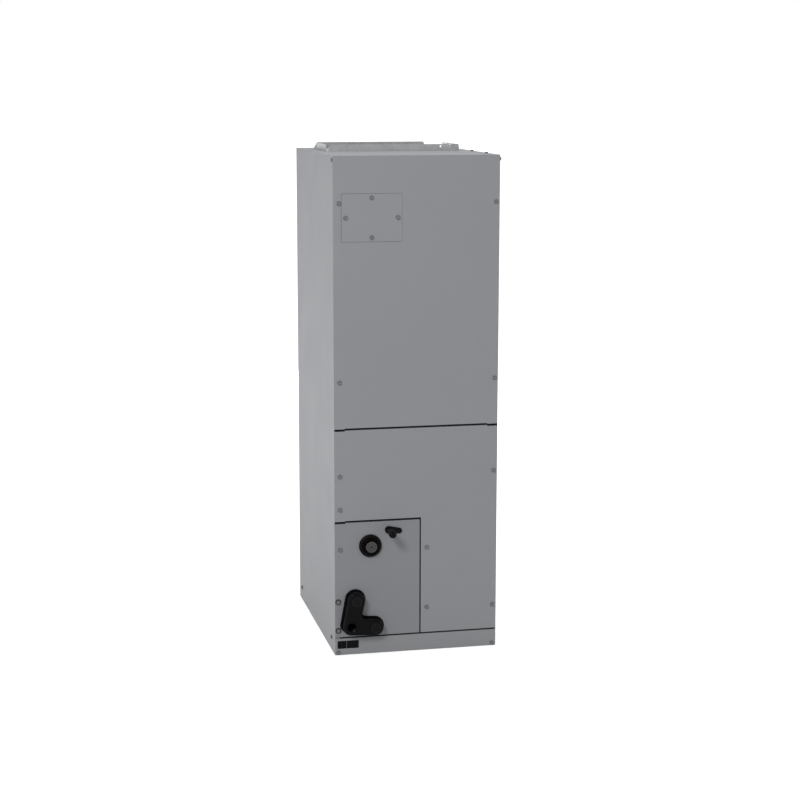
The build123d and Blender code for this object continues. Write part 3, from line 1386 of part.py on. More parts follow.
def hub_set_screw():
    """Square-headed screw that locks the hub on the shaft."""
    body = Cylinder(SET_SCREW, HUB_RADIUS - SHAFT_RADIUS, align=MIN_END)
    square = Box(2 * SET_SCREW, 2 * SET_SCREW, SET_SCREW, align=MIN_END)
    head = Pos(0, 0, HUB_RADIUS - SHAFT_RADIUS) * square
    placed = Pos(0, 0, HUB_LENGTH / 4) * Rot(90, 0, 0) * Pos(0, 0, SHAFT_RADIUS) * (body + head)
    return on_shaft(placed)


def motor_shaft():
    """Shaft from the far side of the hub into the motor."""
    length = HUB_LENGTH / 2 + MOTOR_INSIDE + SHAFT_IN_MOTOR
    return on_shaft(Pos(0, 0, -HUB_LENGTH / 2) * Cylinder(SHAFT_RADIUS, length, align=MIN_END))


def motor_body():
    """Motor shell with rounded ends and the hole its shaft runs in."""
    shell = Cylinder(MOTOR_RADIUS, MOTOR_LENGTH, align=MIN_END)
    shell = fillet(shell.edges().filter_by(GeomType.CIRCLE), MOTOR_BELL)
    hole = Cylinder(SHAFT_RADIUS + SHAFT_CLEARANCE, SHAFT_IN_MOTOR + FIT_GAP, align=MIN_END)
    return on_shaft(Pos(0, 0, MOTOR_INSIDE) * (shell - hole))


BAND_START = HOUSING_SIDE + SHEET + ARM_THICK + MOTOR_BAND_GAP


def motor_band():
    """Strap round the motor, with a pair of ears pulled together by its bolt."""
    outer = MOTOR_RADIUS + MOTOR_BAND
    core = Cylinder(MOTOR_RADIUS, MOTOR_BAND_WIDTH, align=MIN_END)
    band = Cylinder(outer, MOTOR_BAND_WIDTH, align=MIN_END) - core
    ear_place = Pos(outer + ARM_THICK, 0, MOTOR_BAND_WIDTH / 2)
    ears = ear_place * Box(3 * ARM_THICK, 4 * ARM_THICK, MOTOR_BAND_WIDTH)
    slot = ear_place * Box(4 * ARM_THICK, ARM_THICK / 2, 2 * MOTOR_BAND_WIDTH)
    return on_shaft(Pos(0, 0, BAND_START) * (band + (ears - core) - slot))


def motor_arms():
    """Angle arms from the band to the housing's side plate."""
    start = MOTOR_RADIUS + MOTOR_BAND
    plate = HOUSING_SIDE + SHEET
    length = BAND_START + MOTOR_BAND_WIDTH - plate
    from_band = (Align.MIN, Align.CENTER, Align.MIN)
    radial = Pos(start, 0, plate) * Box(ARM_REACH - start, ARM_WIDTH, ARM_THICK, align=from_band)
    leg = Pos(start, 0, plate) * Box(ARM_THICK, ARM_WIDTH, length, align=from_band)
    arm = radial + leg - Cylinder(start, 2 * (length + plate))
    step = 360 / MOTOR_ARMS
    return group([on_shaft(Rot(0, 0, MOTOR_ARM_TURN + i * step) * arm) for i in range(MOTOR_ARMS)])


# Controls

def control_tray():
    """Tray across the front of the blower compartment, open to the front."""
    inner = RIGHT - SHEET
    z = (TRAY_BOTTOM, TRAY_TOP)
    back = block((-inner, inner), (TRAY_BACK - SHEET, TRAY_BACK), z)
    rims = [
        block((-inner, inner), (TRAY_BACK - TRAY_RIM, TRAY_BACK), (z[0], z[0] + SHEET)),
        block((-inner, inner), (TRAY_BACK - TRAY_RIM, TRAY_BACK), (z[1] - SHEET, z[1])),
    ]
    ends = [
        block(sorted((s * inner, s * (inner - SHEET))), (TRAY_FRONT, TRAY_BACK), z) for s in (-1, 1)
    ]
    tray = back + rims + ends
    harness_hole = (HARNESS_X, TRAY_BACK - 2 * SHEET, HARNESS_Z)
    return tray - rod(HARNESS_RADIUS + FIT_GAP, harness_hole, (0, 1, 0), 4 * SHEET)


TRAY_FACE = TRAY_BACK - SHEET
TRAY_MIDDLE = (TRAY_BOTTOM + TRAY_TOP) / 2
PLATE_CENTRE = LEFT + PLATE_LEFT + PLATE_WIDTH / 2
PLATE_MIDDLE = PLATE_BOTTOM + PLATE_HEIGHT / 2
BOARD_X = RIGHT - BOARD_INSET
HARNESS_X = RIGHT - SHEET - LINER - 3 * HARNESS_RADIUS
HARNESS_Z = SHAFT_Z - MOTOR_RADIUS / 2


def on_tray(x, z, size):
    """A block with its back against the tray, centred at a place on it."""
    return raised(x, TRAY_FACE, z, size)


def raised(x, face, z, size):
    """A block with its back against a face, centred at a place on it."""
    width, depth, height = size
    return block((x - width / 2, x + width / 2), (face - depth, face), (z - height / 2, z + height / 2))


def terminal_block():
    """Line terminals behind the cover plate, one groove for each way."""
    width, depth, height = TERMINAL_SIZE
    body = on_tray(PLATE_CENTRE, PLATE_MIDDLE, TERMINAL_SIZE)
    pitch = width / TERMINAL_WAYS
    front = TRAY_FACE - depth
    for i in range(TERMINAL_WAYS):
        x = PLATE_CENTRE - width / 2 + (i + 0.5) * pitch
        groove = (x - pitch / 3, x + pitch / 3)
        z = (PLATE_MIDDLE - height, PLATE_MIDDLE + height)
        body = body - block(groove, (front, front + depth / 3), z)
    return body


def terminal_screws():
    """Clamp screws of the terminals."""
    width, depth, height = TERMINAL_SIZE
    pitch = width / TERMINAL_WAYS
    y = TRAY_FACE - depth * 2 / 3
    heads = []
    for i in range(TERMINAL_WAYS):
        x = PLATE_CENTRE - width / 2 + (i + 0.5) * pitch
        for sign in (-1, 1):
            at = (x, y, PLATE_MIDDLE + sign * height / 4)
            heads.append(rod(pitch / 5, at, (0, -1, 0), 3 * SHEET))
    return group(heads)


def transformer():
    """Low-voltage transformer: a core with its winding standing out at both sides."""
    z = TRAY_MIDDLE + BOARD_SIZE[1] / 4
    x = BOARD_X - BOARD_SIZE[0] / 2 - TRANSFORMER_SIZE[0] / 2 - STANDOFF
    return on_tray(x, z, TRANSFORMER_SIZE) + on_tray(x, z, WINDING_SIZE)


def control_board():
    """Circuit board of the fan control, with its relay, connector and capacitor."""
    face = TRAY_FACE - STANDOFF
    width, height = BOARD_SIZE
    front = face - BOARD_THICK
    board = raised(BOARD_X, face, TRAY_MIDDLE, (width, BOARD_THICK, height))
    relay = raised(BOARD_X - width / 4, front, TRAY_MIDDLE + height / 6, BOARD_RELAY)
    connector = raised(BOARD_X + width / 6, front, TRAY_MIDDLE - height / 3, BOARD_CONNECTOR)
    capacitor_at = (BOARD_X + width / 4, front, TRAY_MIDDLE + height / 5)
    capacitor = rod(BOARD_CAPACITOR_RADIUS, capacitor_at, (0, -1, 0), BOARD_CAPACITOR_LENGTH)
    return board + relay + connector + capacitor


def board_standoffs():
    """Four posts that hold the board off the tray."""
    posts = []
    for x_sign in (-1, 1):
        for z_sign in (-1, 1):
            x = BOARD_X + x_sign * (BOARD_SIZE[0] / 2 - 2 * STANDOFF_RADIUS)
            z = TRAY_MIDDLE + z_sign * (BOARD_SIZE[1] / 2 - 2 * STANDOFF_RADIUS)
            posts.append(rod(STANDOFF_RADIUS, (x, TRAY_FACE, z), (0, -1, 0), STANDOFF))
    return group(posts)


def run_capacitor():
    """Motor capacitor lying along the bottom of the tray."""
    x = BOARD_X - BOARD_SIZE[0] / 2 - CAPACITOR_LENGTH - STANDOFF
    z = TRAY_BOTTOM + SHEET + CAPACITOR_RADIUS
    y = TRAY_FACE - CAPACITOR_RADIUS
    return rod(CAPACITOR_RADIUS, (x, y, z), (1, 0, 0), CAPACITOR_LENGTH)


def blower_relay():
    """Relay that switches the blower, under the board."""
    return on_tray(BOARD_X, TRAY_BOTTOM + SHEET + RELAY_GAP + RELAY_SIZE[2] / 2, RELAY_SIZE)


def ground_lug():
    """Earth lug under the line terminals."""
    z = PLATE_MIDDLE - TERMINAL_SIZE[2] / 2 - LUG_DROP
    lug = on_tray(PLATE_CENTRE, z, LUG_SIZE)
    hole_at = (PLATE_CENTRE, TRAY_FACE - LUG_SIZE[1] / 2, z - LUG_SIZE[2])
    return lug - rod(LUG_HOLE, hole_at, (0, 0, 1), 2 * LUG_SIZE[2])


def motor_harness():
    """Motor lead from the tray, back along the right wall and in to the motor's end."""
    motor_end = MOTOR_INSIDE + MOTOR_LENGTH
    points = [
        (HARNESS_X, TRAY_BACK - 4 * HARNESS_RADIUS, HARNESS_Z),
        (HARNESS_X, SHAFT_Y, HARNESS_Z),
        (motor_end, SHAFT_Y, HARNESS_Z),
    ]
    bend = min(HARNESS_BEND, HARNESS_X - motor_end - HARNESS_STRAIGHT)
    return bent_pipe(points, HARNESS_RADIUS, 0, bend)


def casing():
    """Sheet-metal casing and what is fixed to it."""
    return {
        "base_pan": base_pan(),
        "left_side_panel": side_panel(-1),
        "right_side_panel": side_panel(1),
        "back_panel": back_panel(),
        "top_panel": top_panel(),
        "front_rails": group([centre_rail(), fitting_rail(), bottom_rail(), seam_post()]),
        "duct_flanges": duct_flanges(),
        "wall_liners": group(liners()),
        "casing_screws": group(
            [screw(p, (-1, 0, 0)) for p in side_screws(-1)]
            + [screw(p, (1, 0, 0)) for p in side_screws(1)]
            + [screw(p, (0, 0, 1)) for p in TOP_SCREWS]
            + [screw(p, (0, 1, 0)) for p in BACK_SCREWS]
        ),
        "filter_runners": group([filter_runner(-1), filter_runner(1)]),
        "coil_shelves": group([coil_shelf(-1), coil_shelf(1)]),
    }


def front_screws(places, y=FRONT):
    """Screws that hold a front panel."""
    return group([screw(p, (0, -1, 0)) for p in front_points(places, y)])


def front():
    """Front panels with their screws, grommets, caps and plugs, and the filter."""
    on_washer = FRONT - SEALING_WASHER_THICK
    return {
        "blower_panel": blower_panel(),
        "blower_panel_liner": blower_panel_liner(),
        "blower_panel_screws": front_screws(BLOWER_SCREWS),
        "breaker_cover_plate": breaker_cover_plate(),
        "cover_plate_screws": front_screws(PLATE_SCREWS, FRONT - SHEET),
        "coil_panel": coil_panel(),
        "coil_panel_liner": coil_panel_liner(),
        "coil_panel_screws": front_screws(COIL_SCREWS),
        "fitting_panel": fitting_panel(),
        "fitting_panel_screws": group(
            [front_screws(FITTING_SCREWS), front_screws(WASHER_SCREWS, on_washer)]
        ),
        "sealing_washers": sealing_washers(),
        "suction_grommet": suction_grommet(),
        "liquid_grommet": liquid_grommet(),
        "drain_gasket": drain_gasket(),
        "suction_plug": suction_plug(),
        "liquid_cap": liquid_cap(),
        "drain_plug_upper": drain_plug(UPPER_PORT),
        "drain_plug_right": drain_plug(RIGHT_PORT),
        "filter_door": filter_door(),
        "filter_door_screws": front_screws(DOOR_SCREWS),
        "blank_plates": blank_plates(),
        "air_filter": group([air_filter_frame(), air_filter_media()]),
    }


def cooling_coil():
    """Coil, its pipework and its condensate pans."""
    return {
        "main_drain_pan": main_drain_pan(),
        "side_drain_pan": side_drain_pan(),
        "drain_outlet_block": drain_outlet_block(),
        "coil_fins": group([coil_fins(-1), coil_fins(1)]),
        "tube_sheets": group([tube_sheets(-1), tube_sheets(1)]),
        "coil_tubes": group([coil_tubes(-1), coil_tubes(1), return_bends(-1), return_bends(1)]),
        "coil_closing_plates": group([delta_plates(), apex_cap()]),
        "suction_manifold": group([suction_manifold(), suction_tee()]),
        "suction_stub": suction_stub(),
        "liquid_line": liquid_line(),
        "metering_device": group([metering_device(), distributor()]),
        "feeder_tubes": feeder_tubes(),
    }


def blower():
    """Blower housing, wheel, shaft and motor."""
    return {
        "scroll_sides": group([scroll_side(-1), scroll_side(1)]),
        "scroll_wrap": group([scroll_wrap(), cutoff_plate()]),
        "blower_wheel": blower_wheel(),
        "wheel_hub": group([wheel_hub(), hub_set_screw()]),
        "motor_shaft": motor_shaft(),
        "motor_body": motor_body(),
        "motor_mount": group([motor_band(), motor_arms()]),
    }


def controls():
    """Control tray and the electrical parts on it."""
    return {
        "control_tray": control_tray(),
        "terminal_block": terminal_block(),
        "terminal_metal": group([terminal_screws(), ground_lug()]),
        "transformer": transformer(),
        "control_board": group([control_board(), board_standoffs()]),
        "run_capacitor": run_capacitor(),
        "blower_relay": blower_relay(),
        "motor_harness": motor_harness(),
    }


def main():
    """Write one STEP file for each piece."""
    os.makedirs("parts", exist_ok=True)
    pieces = {**casing(), **front(), **cooling_coil(), **blower(), **controls()}
    for name, piece in pieces.items():
        export_step(piece, f"parts/{name}.step")


main()
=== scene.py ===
import json
import logging
import math
from dataclasses import dataclass
from enum import Enum
from typing import Callable, Iterable, Optional, Sequence, Union

import bmesh
import bpy
from mathutils import Matrix, Vector

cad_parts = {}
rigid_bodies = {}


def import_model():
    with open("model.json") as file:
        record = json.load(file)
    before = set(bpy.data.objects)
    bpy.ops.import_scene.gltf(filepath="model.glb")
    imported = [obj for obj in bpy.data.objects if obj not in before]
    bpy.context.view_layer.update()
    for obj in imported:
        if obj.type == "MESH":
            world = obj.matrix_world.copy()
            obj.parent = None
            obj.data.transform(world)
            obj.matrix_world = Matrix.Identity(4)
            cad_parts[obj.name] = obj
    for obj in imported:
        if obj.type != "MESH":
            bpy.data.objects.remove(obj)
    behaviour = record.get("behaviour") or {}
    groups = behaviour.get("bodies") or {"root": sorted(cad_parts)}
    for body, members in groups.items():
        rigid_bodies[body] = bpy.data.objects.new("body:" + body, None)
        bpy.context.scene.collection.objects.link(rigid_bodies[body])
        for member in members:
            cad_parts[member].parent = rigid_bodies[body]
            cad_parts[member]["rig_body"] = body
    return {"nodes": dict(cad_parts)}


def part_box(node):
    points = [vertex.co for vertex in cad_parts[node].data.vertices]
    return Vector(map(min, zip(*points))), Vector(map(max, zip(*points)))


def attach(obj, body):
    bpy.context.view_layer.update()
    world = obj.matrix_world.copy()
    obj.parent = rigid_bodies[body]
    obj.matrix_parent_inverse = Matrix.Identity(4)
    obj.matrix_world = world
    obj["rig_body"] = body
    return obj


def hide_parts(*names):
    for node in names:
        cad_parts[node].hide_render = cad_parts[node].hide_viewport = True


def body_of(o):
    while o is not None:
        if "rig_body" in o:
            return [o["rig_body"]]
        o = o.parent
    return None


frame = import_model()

logging.basicConfig(level=logging.INFO, format="%(message)s")
LOG = logging.getLogger("air_handler")

MM = 0.001
FULL_TURN = 2.0 * math.pi
SMOOTH_ANGLE = 32.0
Point = tuple[float, float, float]
Colour = tuple[float, float, float]
Radius = Union[float, Callable[[float], float]]
Profile = Sequence[tuple[Radius, float]]
Geometry = bmesh.types.BMesh
Material = bpy.types.Material
Socket = bpy.types.NodeSocket


class Facing(Enum):
    """The way that a detail faces, as its outward direction."""

    FRONT = (0.0, -1.0, 0.0)
    BACK = (0.0, 1.0, 0.0)
    LEFT = (-1.0, 0.0, 0.0)
    RIGHT = (1.0, 0.0, 0.0)
    TOP = (0.0, 0.0, 1.0)
    UNDER = (0.0, 0.0, -1.0)

    @classmethod
    def nearest(cls, out: Vector) -> "Facing":
        """Return the facing whose direction lies closest to a vector."""
        return max(cls, key=lambda facing: out.dot(Vector(facing.value)))

    def at(self, point: Sequence[float], turn: float = 0.0) -> Matrix:
        """Return a place whose Z axis points outwards.

        Args:
            point: Where its origin lies.
            turn: How far it is turned about its own Z axis, in radians.

        Returns:
            The place as a matrix. Seen from outside, Y is up and X to the right.
        """
        out = Vector(self.value)
        up = Vector((0.0, 1.0, 0.0)) if abs(out.z) > 0.5 else Vector((0.0, 0.0, 1.0))
        turned = Matrix((up.cross(out), up, out)).transposed().to_4x4()
        return Matrix.Translation(point) @ turned @ Matrix.Rotation(turn, 4, "Z")


def rgba(colour: Colour) -> tuple[float, float, float, float]:
    """Return the colour with full opacity."""
    return (colour[0], colour[1], colour[2], 1.0)


def shade(colour: Colour, factor: float) -> Colour:
    """Return the colour made darker or lighter by a factor, at most white."""
    return tuple(min(1.0, c * factor) for c in colour)


class Shader:
    """A small builder for one procedural material."""

    def __init__(self, name: str) -> None:
        """Make a material with a principled shader and object coordinates.

        Args:
            name: The material's name.
        """
        self.material = bpy.data.materials.new(name)
        self.material.use_nodes = True
        self.tree = self.material.node_tree
        self.surface = self.tree.nodes["Principled BSDF"]
        self.place = self.tree.nodes.new("ShaderNodeTexCoord").outputs["Object"]

    def set(self, **values: object) -> None:
        """Set the shader's own sockets, with spaces in their names written as underscores."""
        for name, value in values.items():
            self.surface.inputs[name.replace("_", " ")].default_value = value

    def node(self, kind: str, links: Optional[dict] = None, **values: object) -> bpy.types.Node:
        """Add a node.

        Args:
            kind: Blender's node type.
            links: Input name or index to the socket that feeds it.
            values: Input values, with spaces in their names written as underscores.

        Returns:
            The new node.
        """
        made = self.tree.nodes.new(kind)
        for name, value in values.items():
            made.inputs[name.replace("_", " ")].default_value = value
        for name, source in (links or {}).items():
            self.tree.links.new(source, made.inputs[name])
        return made

    def stretched(self, scale: Point) -> Socket:
        """Return object coordinates stretched along each axis."""
        return self.node("ShaderNodeMapping", {"Vector": self.place}, Scale=scale).outputs["Vector"]

    def noise(self, scale: float, detail: float = 2.0, rough: float = 0.5,
              place: Optional[Socket] = None) -> Socket:
        """Return a noise value between 0 and 1.

        Args:
            scale: Features per metre, roughly.
            detail: Octaves of noise.
            rough: How strong the finer octaves are.
            place: Coordinates, or None for the object's own.

        Returns:
            The socket that gives the value.
        """
        made = self.node("ShaderNodeTexNoise", {"Vector": place or self.place},
                         Scale=scale, Detail=detail, Roughness=rough)
        return made.outputs["Fac"]

    def cells(self, scale: float, place: Optional[Socket] = None) -> bpy.types.Node:
        """Return a cell texture node, whose Color and Distance outputs are used."""
        return self.node("ShaderNodeTexVoronoi", {"Vector": place or self.place}, Scale=scale)

    def ramp(self, source: Socket, low: float, high: float, from_low: float = 0.0,
             from_high: float = 1.0) -> Socket:
        """Return the source mapped from one range to another, clamped.

        Args:
            source: The value to map.
            low: The result at from_low and below.
            high: The result at from_high and above.
            from_low: Where the source's range starts.
            from_high: Where it ends.

        Returns:
            The socket that gives the result.
        """
        made = self.node("ShaderNodeMapRange", {"Value": source}, From_Min=from_low, From_Max=from_high,
                         To_Min=low, To_Max=high)
        return made.outputs["Result"]

    def blend(self, factor: Socket, low: Union[Colour, Socket], high: Colour) -> Socket:
        """Return a colour between two.

        Args:
            factor: 0 gives the low colour and 1 the high one.
            low: A colour, or the socket that gives one.
            high: A colour.

        Returns:
            The socket that gives the mixed colour.
        """
        made = self.tree.nodes.new("ShaderNodeMix")
        made.data_type = "RGBA"
        share, first, second = (made.inputs[number] for number in (0, 6, 7))
        if isinstance(low, Socket):
            self.tree.links.new(low, first)
        else:
            first.default_value = rgba(low)
        second.default_value = rgba(high)
        self.tree.links.new(factor, share)
        return made.outputs[2]

    def maths(self, operation: str, first: Socket, second: Socket) -> Socket:
        """Return two values put together by an operation.

        Args:
            operation: Blender's name for it.
            first: The first value.
            second: The second value.

        Returns:
            The socket that gives the result.
        """
        made = self.node("ShaderNodeMath", {0: first, 1: second})
        made.operation = operation
        return made.outputs[0]

    def colour(self, source: Socket) -> None:
        """Feed the shader's colour."""
        self.tree.links.new(source, self.surface.inputs["Base Color"])

    def roughness(self, source: Socket) -> None:
        """Feed the shader's roughness."""
        self.tree.links.new(source, self.surface.inputs["Roughness"])

    def bump(self, heights: Sequence[tuple[Socket, float]]) -> None:
        """Feed the shader's normal from one or more heights.

        Args:
            heights: Pairs of a height socket and how deep it is in metres.
        """
        normal = None
        for height, depth in heights:
            made = self.node("ShaderNodeBump", {"Height": height}, Strength=1.0, Distance=depth)
            if normal is not None:
                self.tree.links.new(normal, made.inputs["Normal"])
            normal = made.outputs["Normal"]
        self.tree.links.new(normal, self.surface.inputs["Normal"])


@dataclass(frozen=True)
class PowderCoat:
    """Satin powder coat on sheet metal: orange peel, slight patches and dust low down."""

    name: str
    colour: Colour
    roughness: float = 0.54
    gloss: float = 0.3
    peel: float = 0.00004
    dust: Colour = (0.24, 0.23, 0.21)

    def build(self) -> Material:
        """Return the material."""
        shader = Shader(self.name)
        shader.set(Metallic=0.0, Specular_IOR_Level=self.gloss)
        patches = shader.blend(shader.noise(3.5, 4.0, 0.55), shade(self.colour, 0.965),
                               shade(self.colour, 1.03))
        speckle = shader.ramp(shader.noise(1400.0, 1.0), 0.0, 0.10, 0.60, 0.78)
        speckled = shader.blend(speckle, patches, shade(self.colour, 0.75))
        height = shader.node("ShaderNodeSeparateXYZ", {0: shader.place}).outputs["Z"]
        dust = shader.ramp(height, 0.10, 0.0, 0.0, 0.12)
        shader.colour(shader.blend(dust, speckled, self.dust))
        shader.roughness(shader.ramp(shader.noise(9.0, 3.0), self.roughness - 0.05, self.roughness + 0.07))
        shader.bump([(shader.noise(420.0, 2.0, 0.6), self.peel), (shader.noise(2.2, 2.0), 0.0006)])
        return shader.material


@dataclass(frozen=True)
class Galvanised:
    """Zinc-coated sheet with its spangle."""

    name: str
    colour: Colour = (0.58, 0.59, 0.60)
    spangle: float = 85.0
    contrast: float = 0.2

    def build(self) -> Material:
        """Return the material."""
        shader = Shader(self.name)
        shader.set(Metallic=0.85)
        warped = shader.node("ShaderNodeTexNoise", {"Vector": shader.place}, Scale=60.0, Detail=2.0)
        mixed = shader.tree.nodes.new("ShaderNodeVectorMath")
        mixed.operation = "MULTIPLY_ADD"
        mixed.inputs[1].default_value = (0.012, 0.012, 0.012)
        shader.tree.links.new(warped.outputs["Color"], mixed.inputs[0])
        shader.tree.links.new(shader.place, mixed.inputs[2])
        crystals = shader.cells(self.spangle, mixed.outputs[0])
        tone = shader.node("ShaderNodeSeparateColor", {0: crystals.outputs["Color"]})
        shader.colour(shader.blend(tone.outputs[0], shade(self.colour, 1.0 - self.contrast),
                                   shade(self.colour, 1.0 + self.contrast)))
        shader.roughness(shader.ramp(tone.outputs[1], 0.28, 0.46))
        shader.bump([(shader.noise(160.0, 3.0), 0.00003), (shader.noise(3.0), 0.0005)])
        return shader.material


@dataclass(frozen=True)
class PlatedSteel:
    """Small plated steel pieces: fine scratches and a dull film in random patches."""

    name: str
    colour: Colour
    roughness: float = 0.36
    metallic: float = 0.9

    def build(self) -> Material:
        """Return the material."""
        shader = Shader(self.name)
        shader.set(Metallic=self.metallic)
        scratch = shader.noise(900.0, 2.0, 0.6, shader.stretched((1.0, 0.15, 1.0)))
        film = shader.noise(120.0, 3.0)
        shader.colour(shader.blend(film, shade(self.colour, 0.70), self.colour))
        shader.roughness(shader.ramp(scratch, self.roughness - 0.08, self.roughness + 0.14))
        shader.bump([(scratch, 0.000015)])
        return shader.material


@dataclass(frozen=True)
class MouldedPlastic:
    """Moulded plastic with a spark-eroded grain and slight sink marks."""

    name: str
    colour: Colour
    roughness: float = 0.45
    grain: float = 1500.0
    gloss: float = 0.16

    def build(self) -> Material:
        """Return the material."""
        shader = Shader(self.name)
        shader.set(Specular_IOR_Level=self.gloss)
        wear = shader.noise(35.0, 4.0, 0.6)
        shader.colour(shader.blend(wear, shade(self.colour, 0.75), shade(self.colour, 1.35)))
        shader.roughness(shader.ramp(shader.noise(60.0, 2.0), self.roughness - 0.06, self.roughness + 0.1))
        shader.bump([(shader.noise(self.grain, 1.0), 0.00002), (shader.noise(24.0, 1.0), 0.0002)])
        return shader.material


@dataclass(frozen=True)
class Rubber:
    """Matte rubber or closed-cell foam with bloom on its surface."""

    name: str
    colour: Colour
    roughness: float = 0.62
    pores: float = 700.0
    gloss: float = 0.12

    def build(self) -> Material:
        """Return the material."""
        shader = Shader(self.name)
        shader.set(Specular_IOR_Level=self.gloss)
        bloom = shader.noise(90.0, 4.0, 0.6)
        shader.colour(shader.blend(bloom, self.colour, shade(self.colour, 1.6)))
        shader.roughness(shader.ramp(bloom, self.roughness - 0.05, self.roughness + 0.15))
        shader.bump([(shader.cells(self.pores).outputs["Distance"], 0.00003), (shader.noise(300.0), 0.00004)])
        return shader.material


@dataclass(frozen=True)
class Copper:
    """Drawn copper pipe with heat tint and a dull skin."""

    name: str
    colour: Colour = (0.70, 0.34, 0.20)
    tint: Colour = (0.34, 0.16, 0.12)

    def build(self) -> Material:
        """Return the material."""
        shader = Shader(self.name)
        shader.set(Metallic=1.0)
        patches = shader.ramp(shader.noise(28.0, 5.0, 0.62), 0.0, 1.0, 0.35, 0.75)
        shader.colour(shader.blend(patches, self.colour, self.tint))
        shader.roughness(shader.ramp(patches, 0.24, 0.46))
        shader.bump([(shader.noise(500.0, 2.0), 0.00002)])
        return shader.material


@dataclass(frozen=True)
class FinnedAluminium:
    """Thin rolled aluminium with rolling lines and a dull water film."""

    name: str
    colour: Colour = (0.76, 0.77, 0.78)

    def build(self) -> Material:
        """Return the material."""
        shader = Shader(self.name)
        shader.set(Metallic=0.9)
        lines = shader.noise(350.0, 2.0, 0.5, shader.stretched((1.0, 1.0, 0.06)))
        film = shader.noise(22.0, 4.0)
        shader.colour(shader.blend(film, shade(self.colour, 0.82), self.colour))
        shader.roughness(shader.ramp(lines, 0.26, 0.45))
        shader.bump([(lines, 0.00003)])
        return shader.material


@dataclass(frozen=True)
class FacedMat:
    """Insulation mat: a dark coated face with fibres showing through."""

    name: str
    colour: Colour = (0.045, 0.045, 0.048)
    fibre: Colour = (0.16, 0.15, 0.12)

    def build(self) -> Material:
        """Return the material."""
        shader = Shader(self.name)
        shader.set(Sheen_Weight=0.25, Sheen_Roughness=0.6, Specular_IOR_Level=0.25)
        strands = shader.noise(480.0, 3.0, 0.7, shader.stretched((1.0, 1.0, 0.25)))
        flecks = shader.ramp(strands, 0.0, 1.0, 0.60, 0.74)
        shader.colour(shader.blend(flecks, self.colour, self.fibre))
        shader.roughness(shader.ramp(strands, 0.75, 0.95))
        shader.bump([(strands, 0.0003), (shader.noise(45.0, 2.0), 0.0012)])
        return shader.material


@dataclass(frozen=True)
class PressedCard:
    """Filter card with pulp flecks and soft fibres."""

    name: str
    colour: Colour = (0.70, 0.66, 0.55)
    weave: float = 900.0

    def build(self) -> Material:
        """Return the material."""
        shader = Shader(self.name)
        shader.set(Specular_IOR_Level=0.2, Sheen_Weight=0.1)
        pulp = shader.noise(self.weave, 4.0, 0.7)
        shader.colour(shader.blend(pulp, shade(self.colour, 0.86), shade(self.colour, 1.08)))
        shader.roughness(shader.ramp(pulp, 0.8, 0.95))
        shader.bump([(pulp, 0.00012)])
        return shader.material


@dataclass(frozen=True)
class Laminations:
    """Stacked steel laminations under varnish."""

    name: str
    colour: Colour = (0.20, 0.17, 0.14)
    sheets: float = 320.0

    def build(self) -> Material:
        """Return the material."""
        shader = Shader(self.name)
        shader.set(Metallic=0.55)
        bands = shader.node("ShaderNodeTexWave", {"Vector": shader.place}, Scale=self.sheets, Distortion=0.4)
        bands.bands_direction = "Y"
        shader.colour(shader.blend(bands.outputs["Fac"], shade(self.colour, 0.6), self.colour))
        shader.roughness(shader.ramp(shader.noise(80.0), 0.3, 0.5))
        shader.bump([(bands.outputs["Fac"], 0.00008)])
        return shader.material


@dataclass(frozen=True)
class SolderMask:
    """Circuit board under green solder mask, its tracks showing through."""

    name: str
    colour: Colour = (0.015, 0.11, 0.045)
    track: Colour = (0.05, 0.24, 0.10)

    def build(self) -> Material:
        """Return the material."""
        shader = Shader(self.name)
        shader.set(Coat_Weight=0.4, Coat_Roughness=0.15)
        blocks = shader.cells(260.0, shader.stretched((1.0, 1.0, 0.35)))
        blocks.distance = "CHEBYCHEV"
        tracks = shader.ramp(blocks.outputs["Distance"], 1.0, 0.0, 0.25, 0.32)
        shader.colour(shader.blend(tracks, self.colour, self.track))
        shader.roughness(shader.ramp(tracks, 0.28, 0.38))
        shader.bump([(tracks, 0.00004)])
        return shader.material


@dataclass(frozen=True)
class BraidedSleeve:
    """Woven wire sleeve."""

    name: str
    colour: Colour = (0.05, 0.05, 0.055)

    def build(self) -> Material:
        """Return the material."""
        shader = Shader(self.name)
        shader.set(Specular_IOR_Level=0.4)
        weave = shader.node("ShaderNodeTexWave", {"Vector": shader.place}, Scale=420.0, Distortion=0.5)
        weave.bands_direction = "DIAGONAL"
        shader.colour(shader.blend(weave.outputs["Fac"], shade(self.colour, 0.5), shade(self.colour, 1.7)))
        shader.roughness(shader.ramp(weave.outputs["Fac"], 0.45, 0.7))
        shader.bump([(weave.outputs["Fac"], 0.0003)])
        return shader.material


